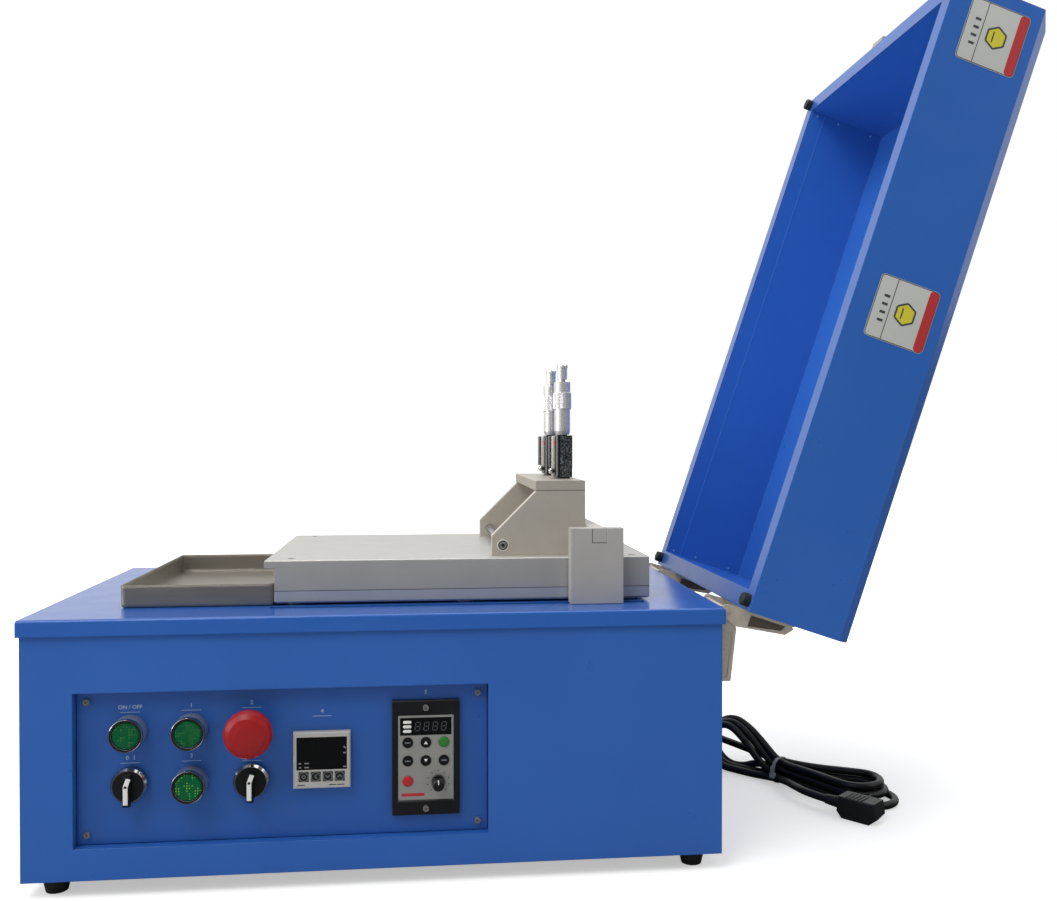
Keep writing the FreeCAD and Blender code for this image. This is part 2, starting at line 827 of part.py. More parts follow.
def speed_controller():
    """Speed controller: black frame, case with a window, membrane keypad and a knob."""
    frame = Piece("speed_surround")
    frame.block(("speed_frame_width", "speed_frame_depth", "speed_frame_height"),
                ("speed_x - speed_frame_width / 2", "panel_front - speed_frame_depth",
                 "speed_z - speed_frame_height / 2"))
    frame.cut_block(("speed_face_width + 2 * hole_gap", "speed_frame_depth + 2",
                     "speed_face_height + 2 * hole_gap"),
                    ("speed_face_left - hole_gap", "panel_front - speed_frame_depth - 1",
                     "speed_face_top - speed_face_height - hole_gap"))
    frame.dress("Chamfer", "0.8", lies("y", "panel_front - speed_frame_depth"))
    keep("speed_frame", frame)
    case = Piece("speed_case")
    case.block(("speed_face_width", "speed_body_depth", "speed_face_height"),
               ("speed_face_left", "speed_face_y", "speed_face_top - speed_face_height"))
    window_x = "speed_x - speed_window_width / 2"
    window_z = "speed_face_top - speed_window_drop - speed_window_height"
    case.cut_block(("speed_window_width", "window_thickness + 1", "speed_window_height"),
                   (window_x, "speed_face_y - 1", window_z))
    knob_x = "speed_x + speed_knob_x"
    knob_z = "speed_face_top - speed_knob_drop"
    case.bore("speed_shaft_radius + running_gap", "9", (knob_x, "speed_face_y - 1", knob_z), "Y")
    keep("speed_controller", case)
    window = Piece("speed_glass")
    window.block(("speed_window_width - 0.2", "window_thickness", "speed_window_height - 0.2"),
                 (f"{window_x} + 0.1", "speed_face_y - 0.2", f"{window_z} + 0.1"))
    keys = [(column, row) for row in range(2) for column in range(3)]
    pads = numbered("speed_pad", keys + [(0, 2.1)])
    for pad, (column, row) in pads:
        pad.rod("speed_key_radius", "speed_key_proud", ("0", "0", "0"))
        pad.at((f"speed_x + ({column} - 1) * speed_key_pitch_x", "speed_face_y",
                f"speed_face_top - speed_key_drop - {row} * speed_key_pitch_z"), "-Y")
    keep("speed_keypad", *[pad for pad, spot in pads])
    knob = Piece("speed_dial")
    knob.turned([("0", "-6"), ("speed_shaft_radius", "-6"), ("speed_shaft_radius", "0.4"),
                 ("speed_knob_radius", "0.4"), ("speed_knob_radius", "3"),
                 ("speed_knob_radius * 0.82", "speed_knob_height - 0.8"),
                 ("speed_knob_radius * 0.7", "speed_knob_height"), ("0", "speed_knob_height")])
    knob.cut_block(("speed_knob_radius * 2", "3", "speed_knob_height"),
                   ("-speed_knob_radius", "speed_knob_radius * 0.72", "4"))
    knob.at((knob_x, "speed_face_y", knob_z), "-Y")
    keep("speed_knob", knob)
    return window


def heated_bed():
    """Base plate on spacers, heater mat, and the flat top plate with its drip lip."""
    corners = [(x, y) for x in ("bed_left + spacer_inset", "(bed_left + bed_right) / 2",
                                "bed_right - spacer_inset")
               for y in ("spacer_inset - bed_depth / 2", "bed_depth / 2 - spacer_inset")]
    spacers = numbered("spacer", corners)
    for spacer, (x, y) in spacers:
        spacer.rod("spacer_radius", "bed_gap", (x, y, "cover_height"))
    keep("bed_spacers", *[spacer for spacer, spot in spacers])
    base = Piece("bed_under_plate")
    base.block(("bed_length", "bed_depth", "bed_base_height"),
               ("bed_left", "-bed_depth / 2", "bed_base_bottom"))
    base.dress("Chamfer", "1.5", lies("z", "bed_base_bottom"))
    heater_size = ("bed_length - 2 * heater_inset", "bed_depth - 2 * heater_inset", "heater_height")
    heater_spot = ("bed_left + heater_inset", "heater_inset - bed_depth / 2",
                   "bed_plate_bottom - heater_height")
    base.cut_block(heater_size, heater_spot)
    keep("bed_base_plate", base)
    heater = Piece("heater_mat")
    heater.block(heater_size, heater_spot)
    keep("bed_heater", heater)
    plate = Piece("bed_top_plate")
    plate.block(("bed_length", "bed_depth", "bed_plate_height"),
                ("bed_left", "-bed_depth / 2", "bed_plate_bottom"))
    plate.block(("bed_lip + 5", "bed_depth", "bed_lip_height"),
                ("bed_left - bed_lip", "-bed_depth / 2", "bed_top - bed_lip_height"))
    plate.dress("Chamfer", "0.8", lies("z", "bed_top"))
    screws = numbered("bed_screw", [
        (x, y) for x in ("bed_left + bed_screw_inset", "bed_right - bed_screw_inset")
        for y in ("bed_screw_inset - bed_depth / 2", "bed_depth / 2 - bed_screw_inset")])
    for screw, (x, y) in screws:
        plate.bore("bed_screw_radius + hole_gap", "bed_screw_head + 1",
                   (x, y, "bed_top - bed_screw_head - 0.6"))
        screw.turned([("0", "-0.8"), ("1.4", "-0.8"), ("1.4", "0"), ("bed_screw_radius", "0"),
                      ("bed_screw_radius", "-bed_screw_head"), ("0", "-bed_screw_head")])
        screw.at((x, y, "bed_top - 0.6"))
    keep("bed_plate", plate)
    keep("bed_screws", *[screw for screw, spot in screws])


def spill_tray():
    """Shallow folded tray at the left end of the bed, under its drip lip."""
    tray = Piece("tray_pan")
    tray.block(("tray_length", "tray_depth", "tray_height"),
               ("tray_left", "-tray_depth / 2", "cover_height"))
    tray.dress("Fillet", "tray_corner", runs("z"))
    tray.dress("Fillet", "tray_corner - 1", lies("z", "cover_height"))
    document.recompute()
    top = next(number for number, face in enumerate(tray.body.Tip.Shape.Faces, 1)
               if abs(face.CenterOfMass.z - value("cover_height + tray_height")) < 1e-4)
    solid = tray.body.Tip
    made = tray.feature("Thickness")
    made.Base = (solid, [f"Face{top}"])
    made.Reversed = True
    bind(made, Value="tray_sheet")
    tray.body.Tip = made
    keep("spill_tray", tray)


def pusher():
    """Two uprights that run along the bed's sides, and the square bar that lies across them."""
    uprights = []
    for name, outer, inward in (("near", "-upright_outer_y", "1"), ("far", "upright_inner_y", "0")):
        upright = Piece(f"{name}_upright")
        upright.block(("upright_length", "upright_thickness", "upright_height - upright_gap"),
                      ("upright_left", outer, "cover_height + upright_gap"))
        tongue_y = (f"{outer} + {inward} * (upright_thickness - tongue_thickness)")
        upright.block(("tongue_length", "tongue_thickness",
                       "cover_height + upright_gap - crosshead_top"),
                      ("upright_middle - tongue_length / 2", tongue_y, "crosshead_top"))
        upright.cut_block(("bar_size + 2 * bar_fit", "upright_thickness + 2", "bar_size + 5"),
                          ("bar_left - bar_fit", f"{outer} - 1", "upright_top - bar_size"))
        uprights.append(upright)
    keep("pusher_uprights", *uprights)
    bar = Piece("square_bar")
    bar.block(("bar_size", "2 * upright_outer_y", "bar_size"),
              ("bar_left", "-upright_outer_y", "upright_top - bar_size"))
    bar.dress("Chamfer", "0.4", runs("y"))
    keep("pusher_bar", bar)


def drive():
    """Below the cover: motor, coupling, screw, guide rods, end blocks and the crosshead."""
    crosshead = Piece("crosshead_casting")
    span = "2 * (tongue_inner_y + tongue_thickness)"
    crosshead.block(("crosshead_length", span, "crosshead_height"),
                    ("crosshead_left", "-tongue_inner_y - tongue_thickness", "crosshead_bottom"))
    for y, radius in (("0", "screw_radius"), ("rod_y", "rod_radius"), ("-rod_y", "rod_radius")):
        crosshead.block(("crosshead_length", "28", "crosshead_bottom - drive_height + 14 + 1"),
                        ("crosshead_left", f"{y} - 14", "drive_height - 14"))
        crosshead.bore(f"{radius} + running_gap", "crosshead_length + 2",
                       ("crosshead_left - 1", y, "drive_height"), "X")
    keep("crosshead", crosshead)
    blocks = numbered("end_block", ["block_left", "block_right"])
    for block, x in blocks:
        block.block(("block_length", "2 * block_half_depth", "body_top - block_bottom"),
                    (x, "-block_half_depth", "block_bottom"))
        for y, radius in (("0", "screw_radius"), ("rod_y", "rod_radius"), ("-rod_y", "rod_radius")):
            block.bore(f"{radius} + running_gap", "block_length + 2", (f"{x} - 1", y, "drive_height"),
                       "X")
    keep("drive_end_blocks", *[block for block, x in blocks])
    rods = numbered("guide_rod", ["-rod_y", "rod_y"])
    for rod, y in rods:
        rod.rod("rod_radius", "block_right - block_left + block_length - 2",
                ("block_left + 1", y, "drive_height"), "X")
    keep("guide_rods", *[rod for rod, y in rods])
    screw = Piece("drive_screw")
    screw.rod("screw_radius", "block_right + block_length - coupling_right + 2",
              ("coupling_right - 8", "0", "drive_height"), "X")
    screw.rod("screw_radius * 0.7", "6", ("block_right + block_length - 7", "0", "drive_height"), "X")
    keep("lead_screw", screw)
    coupling = Piece("shaft_coupler")
    coupling.rod("coupling_radius", "coupling_length", ("coupling_left", "0", "drive_height"), "X")
    coupling.bore("screw_radius + running_gap", "9", ("coupling_right - 8.5", "0", "drive_height"),
                  "X")
    coupling.bore("motor_shaft_radius + running_gap", "9", ("coupling_left - 0.5", "0",
                                                           "drive_height"), "X")
    keep("shaft_coupling", coupling)
    motor = Piece("gear_motor")
    motor.block(("motor_length", "motor_size", "motor_size"),
                ("motor_right - motor_length", "-motor_size / 2", "drive_height - motor_size / 2"))
    motor.dress("Fillet", "6", runs("x"))
    motor.rod("motor_size * 0.25", "2", ("motor_right - 1", "0", "drive_height"), "X")
    motor.rod("motor_shaft_radius", "4 + 8", ("motor_right - 0.5", "0", "drive_height"), "X")
    motor.block(("6", "motor_size", "body_top - drive_height"),
                ("motor_right - 6", "-motor_size / 2", "drive_height"))
    keep("drive_motor", motor)


def electrics():
    """Power supply and relay on the housing's floor."""
    floor = "foot_height + housing_sheet"
    supply = Piece("supply_box")
    supply.block(("supply_length", "supply_depth", "supply_height"),
                 ("supply_left", "supply_front", floor))
    for step in range(5):
        supply.cut_block(("supply_length * 0.7", "4", "2.5"),
                         ("supply_left + supply_length * 0.15",
                          f"supply_front + supply_depth * {0.2 + 0.15 * step}",
                          f"{floor} + supply_height - 2"))
    relay = Piece("relay_block")
    relay.block(("relay_length", "relay_depth", "relay_height"),
                ("relay_left", "relay_front", floor))
    relay.dress("Fillet", "3", runs("z"))
    keep("electrics", supply, relay)


def applicator():
    """Two cheeks, a crossbar, a tie rod and the coating blade between the cheeks."""
    cheeks = []
    for name, start in (("near", "-cheek_y"), ("far", "cheek_y - cheek_thickness")):
        cheek = Piece(f"{name}_cheek")
        rise = "cheek_height - cheek_nose"
        cheek.pad("XZ", [("0", "0"), ("applicator_length", "0"),
                         ("applicator_length", "cheek_height"),
                         (rise, "cheek_height"), ("0", "cheek_nose")], start, "cheek_thickness")
        cheek.bore("tie_radius + 0.1", "cheek_thickness + 2", ("tie_inset", f"{start} - 1",
                                                              "tie_height"), "Y")
        outer = f"{start} - 1" if name == "near" else "cheek_y - tie_head_depth"
        cheek.bore("tie_head_radius + 0.4", "tie_head_depth + 1", ("tie_inset", outer, "tie_height"),
                   "Y")
        cheek.at(("applicator_left", "0", "applicator_floor"))
        cheeks.append(cheek)
    keep("applicator_cheeks", *cheeks)
    crossbar = Piece("top_bar")
    crossbar.block(("crossbar_length", "applicator_width", "crossbar_height"),
                   ("applicator_right - crossbar_length", "-cheek_y", "crossbar_bottom"))
    for side in ("-", ""):
        crossbar.bore("spindle_radius + 0.5", "crossbar_height + 2",
                      ("head_x", f"{side}head_spacing / 2", "crossbar_bottom - 1"))
    crossbar.dress("Chamfer", "0.5", lies("z", "crossbar_top"), runs("y"))
    keep("applicator_crossbar", crossbar)
    tie = Piece("tie_bolt")
    tie.rod("tie_radius", "applicator_width - 2 * tie_head_depth + 2",
            ("0", "tie_head_depth - 1 - cheek_y", "0"), "Y")
    tie.rod("tie_head_radius", "tie_head_depth - 0.6", ("0", "0.6 - cheek_y", "0"), "Y")
    tie.rod("tie_head_radius", "tie_head_depth - 0.6", ("0", "cheek_y - tie_head_depth", "0"), "Y")
    tie.bore("2.2", "2.5", ("0", "0.1 - cheek_y", "0"), "Y")
    tie.at(("applicator_left + tie_inset", "0", "applicator_floor + tie_height"))
    keep("applicator_tie_rod", tie)
    blade = Piece("doctor_blade")
    reach = "cheek_y - cheek_thickness - blade_side_gap"
    blade.pad("XZ", [("blade_thickness - blade_edge", "0"), ("blade_thickness", "0"),
                     ("blade_thickness", "blade_height"), ("0", "blade_height"),
                     ("0", "blade_bevel")], f"-({reach})", f"2 * ({reach})")
    blade.at(("blade_left", "0", "applicator_floor + blade_rest"))
    keep("coating_blade", blade)


def micrometer_heads():
    """Two micrometer heads: a black frame with its sleeve, and a thimble with its spindle."""
    frames = []
    for name, y in (("near", "-head_spacing / 2"), ("far", "head_spacing / 2")):
        frame = Piece(f"{name}_head_frame")
        frame.block(("frame_length - 2 * frame_foot_inset", "frame_width - 2 * frame_foot_inset",
                     "frame_foot + 1"),
                    ("frame_foot_inset - frame_length / 2", "frame_foot_inset - frame_width / 2",
                     "-frame_height - frame_foot"))
        frame.block(("frame_length", "frame_width", "frame_height"),
                    ("-frame_length / 2", "-frame_width / 2", "-frame_height"))
        frame.dress("Fillet", "2", runs("z"), lies("x", "-frame_length / 2"))
        frame.rod("sleeve_radius", "sleeve_height + 2", ("0", "0", "-2"))
        frame.rod("1.2", "5", ("-frame_length / 2 - 3", "-frame_width / 4", "6 - frame_height"), "X")
        frame.ball("lock_ball_radius", ("-frame_length / 2 - 4", "-frame_width / 4",
                                        "6 - frame_height"))
        frame.bore("spindle_radius + spindle_gap", "frame_height + frame_foot + sleeve_height + 4",
                   ("0", "0", "-frame_height - frame_foot - 2"))
        frame.at(("head_x", y, "head_base"))
        frames.append(frame)
        thimble = Piece(f"{name}_barrel")
        hollow = "sleeve_radius + thimble_gap"
        thimble.turned([("0", "spindle_end"), ("spindle_radius", "spindle_end"),
                        ("spindle_radius", "sleeve_height + 4"), (hollow, "sleeve_height + 4"),
                        (hollow, "thimble_clear"), ("thimble_tip_radius", "thimble_clear"),
                        ("thimble_radius", "taper_top"), ("thimble_radius", "plain_top"),
                        ("grip_radius", "plain_top + 0.5"), ("grip_radius", "grip_top - 0.5"),
                        ("thimble_head_radius", "grip_top"), ("thimble_head_radius", "thimble_top"),
                        ("neck_radius", "thimble_top + 0.6"), ("neck_radius", "neck_top"),
                        ("ratchet_radius", "neck_top"), ("ratchet_radius", "ratchet_top - 0.8"),
                        ("ratchet_radius - 0.8", "ratchet_top"), ("0", "ratchet_top")])
        thimble.at(("head_x", y, "head_base"))
        keep(f"{name}_thimble", thimble)
    keep("micrometer_frames", *frames)


def lid():
    """Chamfered lid shell with a hemmed rim, its inner liner and the four rubber bumpers."""
    shell = Piece("lid_skin")
    shell.block(("cover_length", "cover_depth", "lid_height"),
                ("lid_left", "-cover_depth / 2", "rim_z"))
    at_top = lies("z", "lid_top")
    at_hinge = lies("x", "-pin_outset")
    shell.dress("Chamfer", "lid_chamfer", at_top, lambda edge: not at_hinge(edge))
    document.recompute()
    solid = shell.body.Tip
    under = next(number for number, face in enumerate(solid.Shape.Faces, 1)
                 if abs(face.CenterOfMass.z - value("rim_z")) < 1e-4)
    made = shell.feature("Thickness")
    made.Base = (solid, [f"Face{under}"])
    made.Reversed = True
    made.Join = 1
    bind(made, Value="lid_sheet")
    shell.body.Tip = made
    shell.block(("cover_length", "cover_depth", "lid_sheet"),
                ("lid_left", "-cover_depth / 2", "rim_z"))
    shell.cut_block(("cover_length - 2 * hem_width", "cover_depth - 2 * hem_width", "6"),
                    ("lid_left + hem_width", "hem_width - cover_depth / 2", "rim_z - 2"))
    keep("lid_shell", shell.on_lid())
    liner = Piece("lid_inner")
    liner.block(("liner_length", "liner_depth", "liner_height"),
                ("liner_left", "-liner_depth / 2", "liner_bottom"))
    liner.block(("liner_length + 2 * liner_flange", "liner_depth + 2 * liner_flange",
                 "liner_sheet"),
                ("liner_left - liner_flange", "-liner_depth / 2 - liner_flange", "liner_bottom"))
    liner.cut_block(("liner_length - 2 * liner_sheet", "liner_depth - 2 * liner_sheet",
                     "liner_height"),
                    ("liner_left + liner_sheet", "liner_sheet - liner_depth / 2",
                     "liner_bottom - liner_sheet"))
    keep("lid_liner", liner.on_lid())
    bumpers = numbered("bumper", [
        (x, y) for x in ("lid_left + bumper_inset", "-pin_outset - bumper_inset")
        for y in ("bumper_inset - cover_depth / 2", "cover_depth / 2 - bumper_inset")])
    for bumper, (x, y) in bumpers:
        bumper.rod("bumper_radius", "bumper_height", (x, y, "rim_z - bumper_height"))
        bumper.dress("Fillet", "1.5", lies("z", "rim_z - bumper_height"))
        bumper.on_lid()
    keep("lid_bumpers", *[bumper for bumper, spot in bumpers])


def hinges():
    """Two stamped hinges: an arm on the lid, a leaf on the housing wall, and the pin."""
    arms = []
    leaves = []
    for name, start in (("near", "hinge_inset - cover_depth / 2"),
                        ("far", "cover_depth / 2 - hinge_inset - hinge_width")):
        far_cheek = f"{start} + hinge_width - hinge_sheet"
        arm = Piece(f"{name}_arm")
        arm.block(("hinge_sheet", "hinge_width", "arm_length - 2"),
                  ("-pin_outset", start, "rim_z + 2"))
        root = "arm_root_depth - pin_outset"
        tip = "arm_tip_depth - pin_outset"
        cheek = [("-pin_outset", "rim_z + 2"), ("-pin_outset", "arm_tip_z - 4"),
                 ("-pin_outset + 4", "arm_tip_z"), (tip, "arm_tip_z - 6"), (root, "rim_z - 0.5"),
                 (f"{root} - 2.5", "pin_drop - 0.5"), ("lug_radius * 0.7", "-lug_radius * 0.7"),
                 ("-lug_radius * 0.7", "-lug_radius * 0.7"), ("-lug_radius", "0"),
                 ("-lug_radius", "pin_drop + 1")]
        margin = "emboss_margin"
        panel = [(f"{margin} - pin_outset", "rim_z + 10"), (f"{margin} - pin_outset", "arm_tip_z - 8"),
                 (f"{tip} - {margin} + 1", "arm_tip_z - 11"), (f"{root} - {margin}", "rim_z + 10")]
        for y, emboss in ((start, start), (far_cheek, f"{start} + hinge_width - emboss_depth")):
            arm.pad("XZ", cheek, y, "hinge_sheet")
            arm.pocket("XZ", panel, emboss, "emboss_depth")
            arm.bore("pin_radius + pin_gap", "hinge_sheet + 2", ("0", f"{y} - 1", "0"), "Y")
        arms.append(arm.on_lid())
        leaf = Piece(f"{name}_leaf")
        inner = f"{start} + leaf_inset"
        far_side = f"{inner} + leaf_width - hinge_sheet"
        leaf.block(("hinge_sheet", "leaf_width", "leaf_height"), ("body_right", inner, "leaf_bottom"))
        side = [("body_right", "leaf_bottom"), ("body_right + leaf_bottom_depth", "leaf_bottom"),
                ("body_right + leaf_top_depth", "leaf_top - 4"),
                ("body_right + leaf_top_depth - 3", "leaf_top"), ("pin_x + lug_radius", "pin_z - 3"),
                ("pin_x + lug_radius * 0.7", "pin_z + lug_radius * 0.7"),
                ("pin_x - lug_radius * 0.7", "pin_z + lug_radius * 0.7"),
                ("pin_x - lug_radius", "pin_z"),
                ("pin_x - lug_radius", "leaf_top"), ("body_right", "leaf_top")]
        inset = [(f"body_right + {margin}", f"leaf_bottom + {margin}"),
                 (f"body_right + leaf_bottom_depth - {margin}", f"leaf_bottom + {margin}"),
                 (f"body_right + leaf_top_depth - {margin}", f"leaf_top - 4 - {margin}"),
                 (f"body_right + {margin}", f"leaf_top - 4 - {margin}")]
        for y, emboss in ((inner, inner), (far_side, f"{inner} + leaf_width - emboss_depth")):
            leaf.pad("XZ", side, y, "hinge_sheet")
            leaf.pocket("XZ", inset, emboss, "emboss_depth")
            leaf.bore("pin_radius", "hinge_sheet + 2", ("pin_x", f"{y} - 1", "pin_z"), "Y")
        leaves.append(leaf)
        pin = Piece(f"{name}_pin")
        pin.rod("pin_radius", "hinge_width + 3", ("pin_x", f"{start} - 1.5", "pin_z"), "Y")
        leaves.append(pin)
    keep("hinge_arms", *arms)
    keep("hinge_leaves", *leaves)


def latch():
    """Toggle latch on the left wall, with its lever and wire bail, and the lid's keeper."""
    base = Piece("latch_foot")
    base.block(("latch_sheet", "latch_width", "latch_height"),
               ("-body_right - latch_sheet", "-latch_width / 2", "latch_bottom"))
    for y in ("-latch_width / 2", "latch_width / 2 - latch_sheet"):
        base.pad("XZ", [("-body_right", "latch_pivot_z - 10"), ("-body_right", "latch_pivot_z + 6"),
                        ("latch_x", "latch_pivot_z + 4"), ("latch_x - 3.5", "latch_pivot_z"),
                        ("latch_x - 2.5", "latch_pivot_z - 4")], y, "latch_sheet")
    base.rod("latch_pin_radius", "latch_width + 1", ("latch_x", "-latch_width / 2 - 0.5",
                                                     "latch_pivot_z"), "Y")
    keep("latch_base", base)
    lever = Piece("latch_handle")
    outside = "bail_pivot_out - latch_pivot_out"
    lever.pad("XZ", [("-3.5", "3.5"), ("3.2", "3.5"), ("3.2", "-4"), ("1", "-lever_length + 8"),
                     ("-2", "-lever_length"), ("-5", "-lever_length - 2"),
                     ("-5", "-lever_length + 1"), (f"-({outside}) - 3", "-14"),
                     (f"-({outside}) - 3", "-6"), (f"-({outside})", "-2.5")],
              "-lever_width / 2", "lever_width")
    lever.bore("latch_pin_radius + running_gap", "lever_width + 2", ("0", "-lever_width / 2 - 1",
                                                                    "0"), "Y")
    lever.bore("bail_radius + running_gap", "lever_width + 2",
               (f"-({outside})", "-lever_width / 2 - 1", "-8"), "Y")
    lever.at(("latch_x", "0", "latch_pivot_z"))
    keep("latch_lever", lever)
    bail = Piece("latch_wire")
    bail.rod("bail_radius", "bail_width", ("0", "-bail_width / 2", "0"), "Y")
    bail.rod("bail_radius", "bail_width", ("0", "-bail_width / 2", "-bail_height"), "Y")
    for y in ("bail_radius - bail_width / 2", "bail_width / 2 - bail_radius"):
        bail.rod("bail_radius", "bail_height", ("0", y, "-bail_height"))
    bail.at(("bail_x", "0", "latch_pivot_z - 8"))
    keep("latch_bail", bail)
    keeper = Piece("lid_keeper")
    keeper.pad("XZ", [("lid_left", "rim_z + keeper_offset"),
                      ("lid_left", "rim_z + keeper_offset + keeper_height"),
                      ("lid_left - 2", "rim_z + keeper_offset + keeper_height"),
                      ("lid_left - 2", "rim_z + keeper_offset + 2"),
                      ("lid_left - keeper_reach + 2", "rim_z + keeper_offset + 2"),
                      ("lid_left - keeper_reach + 2", "rim_z + keeper_offset + keeper_hook"),
                      ("lid_left - keeper_reach", "rim_z + keeper_offset + keeper_hook"),
                      ("lid_left - keeper_reach", "rim_z + keeper_offset")],
               "-keeper_width / 2", "keeper_width")
    keep("latch_keeper", keeper.on_lid())


def tube_along(name, points):
    """A length of lead: straight runs joined by tangent arcs as large as the runs allow."""
    radius = value("cord_radius")
    start = points[0]
    path = []
    for before, corner, after in zip(points, points[1:], points[2:]):
        back = before - corner
        ahead = after - corner
        reach = 0.45 * min(back.Length, ahead.Length)
        back.normalize()
        ahead.normalize()
        half_turn = (math.pi - back.getAngle(ahead)) / 2
        bend = reach / math.tan(half_turn)
        middle = corner + (back + ahead).normalize() * (bend / math.cos(half_turn) - bend)
        path.append(Part.LineSegment(start, corner + back * reach).toShape())
        path.append(Part.Arc(corner + back * reach, middle, corner + ahead * reach).toShape())
        start = corner + ahead * reach
        print(f"{name}: bend radius {bend:.1f} mm")
    path.append(Part.LineSegment(start, points[-1]).toShape())
    spine = Part.Wire(path)
    section = Part.Wire(Part.makeCircle(radius, points[0], points[1] - points[0]))
    tube = spine.makePipeShell([section], True, True)
    print(f"{name}: volume over section times length "
          f"{tube.Volume / (math.pi * radius ** 2 * spine.Length):.4f}")
    made = document.addObject("Part::Feature", name)
    made.Shape = tube
    return made


def mains_lead():
    """The lead's bush in the right wall, its tied hank on the bench, and its plug."""
    bush = Piece("lead_bush")
    bush.turned([("0", "-4"), ("gland_shank_radius", "-4"), ("gland_shank_radius", "0"),
                 ("gland_radius", "0"), ("gland_radius", "3"), ("cord_radius + 3", "4"),
                 ("cord_radius + 1.2", "gland_length"), ("0", "gland_length")])
    bush.at(("body_right", "gland_y", "gland_z"), "X")
    keep("cord_gland", bush)
    hank = Piece("tied_lead")
    near_edge = [("0", "-hank_end"), ("hank_length * 0.13", "-hank_loop"),
                 ("hank_waist_at", "-hank_waist"), ("hank_length * 0.65", "-hank_loop"),
                 ("hank_length * 0.88", "-hank_near_bulge"), ("hank_length", "-hank_loop / 2")]
    far_edge = [("hank_length", "hank_far_bulge * 0.6"), ("hank_length * 0.88", "hank_far_bulge"),
                ("hank_length * 0.65", "hank_far_bulge * 0.7"), ("hank_waist_at", "hank_waist"),
                ("hank_length * 0.13", "hank_waist"), ("0", "hank_end")]
    hank.pad("XY", near_edge + far_edge, "0", "hank_height")
    hank.pocket("XZ", [("-1", "hank_height - 10"), ("14", "hank_height"),
                       ("40", "hank_height - 4"), ("hank_waist_at", "hank_waist_height"),
                       ("190", "hank_waist_height - 6"), ("hank_length", "hank_end_height"),
                       ("hank_length + 1", "hank_height + 1"), ("-1", "hank_height + 1")],
                "-2 * hank_loop", "4 * hank_loop")
    keep("cord_hank", hank.by_hank())
    plug = Piece("mains_plug")
    plug.pad("XZ", [("-plug_length * 0.36", "0"), ("plug_length * 0.36", "0"),
                    ("plug_length * 0.55", "plug_height * 0.4"),
                    ("plug_length / 2", "plug_height"), ("-plug_length * 0.45", "plug_height"),
                    ("-plug_length / 2", "plug_height * 0.3")], "-plug_depth / 2", "plug_depth")
    plug.dress("Fillet", "2", lies("y", "-plug_depth / 2"))
    cone = plug.feature("AdditiveCone")
    bind(cone, Radius1="relief_radius", Radius2="cord_radius + 0.8", Height="relief_length + 3")
    put(cone, ("3 - plug_length / 2", "0", "plug_height * 0.55"))
    cone.Placement.Rotation = FreeCAD.Rotation(FreeCAD.Vector(0, 1, 0), -90)
    for x, z in (("-6", "6"), ("6", "6"), ("0", "15")):
        plug.block(("1.6", "blade_pin_length + 2", "6.4"),
                   (f"{x} - 0.8", "plug_depth / 2 - 2", f"{z} - 3.2"))
    keep("plug", plug.by_hank("plug_at", "plug_offset"))
    document.recompute()
    laid = hank.body.Placement
    out = FreeCAD.Vector(value("body_right + gland_length"), value("gland_y"), value("gland_z"))
    first = [out, out + FreeCAD.Vector(23, 0, -1), out + FreeCAD.Vector(46, -4, -6),
             laid.multVec(FreeCAD.Vector(1, value("hank_end - cord_radius"), 28))]
    plug_back = value("plug_at - plug_length / 2 - relief_length")
    aside = value("plug_offset")
    height = value("plug_height * 0.55")
    route = [(0, 0, 0), (-22, 2, 0.5), (-43, 12, 2), (-62, 28, 4), (-75, 44, 5)]
    second = [laid.multVec(FreeCAD.Vector(plug_back + x, aside + y, height + z))
              for x, y, z in route]
    keep("cord", tube_along("lead_from_housing", first), tube_along("lead_to_plug", second))


def main():
    housing_shell()
    bottom_plate()
    top_cover()
    feet()
    control_panel()
    panel_screws()
    push_buttons()
    emergency_stop()
    selectors()
    keep("display_windows", temperature_controller(), speed_controller())
    heated_bed()
    spill_tray()
    pusher()
    drive()
    electrics()
    applicator()
    micrometer_heads()
    lid()
    hinges()
    latch()
    mains_lead()
    document.recompute()
    broken = [item.Name for item in document.Objects if {"Invalid", "Error"} & set(item.State)]
    if broken:
        raise RuntimeError(f"features that failed: {broken}")
    os.makedirs("parts", exist_ok=True)
    for name, item in nodes.items():
        shape = item.Shape
        if shape.isNull() or not shape.isValid() or not shape.Solids:
            raise RuntimeError(f"{name} has no valid solid")
    for name, item in nodes.items():
        item.Shape.exportStep(f"parts/{name}.step")
    print(f"{len(nodes)} sub-parts written")


main()
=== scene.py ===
import math

import bmesh
import bpy
from mathutils import Euler, Matrix, Vector


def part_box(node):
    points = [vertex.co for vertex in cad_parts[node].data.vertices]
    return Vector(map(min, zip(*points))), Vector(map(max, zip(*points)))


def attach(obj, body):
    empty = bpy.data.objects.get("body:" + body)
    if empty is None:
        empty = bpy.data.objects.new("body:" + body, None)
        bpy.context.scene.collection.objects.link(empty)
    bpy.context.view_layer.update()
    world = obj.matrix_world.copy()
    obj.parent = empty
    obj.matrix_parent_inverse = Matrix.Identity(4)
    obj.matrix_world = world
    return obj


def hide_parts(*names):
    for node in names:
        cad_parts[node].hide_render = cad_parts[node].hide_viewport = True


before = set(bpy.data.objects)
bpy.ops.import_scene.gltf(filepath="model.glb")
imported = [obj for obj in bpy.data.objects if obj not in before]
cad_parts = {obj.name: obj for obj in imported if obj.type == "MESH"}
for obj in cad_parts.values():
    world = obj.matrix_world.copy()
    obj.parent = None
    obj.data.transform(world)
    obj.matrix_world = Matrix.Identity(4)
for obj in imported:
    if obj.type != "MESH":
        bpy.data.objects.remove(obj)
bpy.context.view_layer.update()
scene = bpy.context.scene
MM = 0.001


# Camera

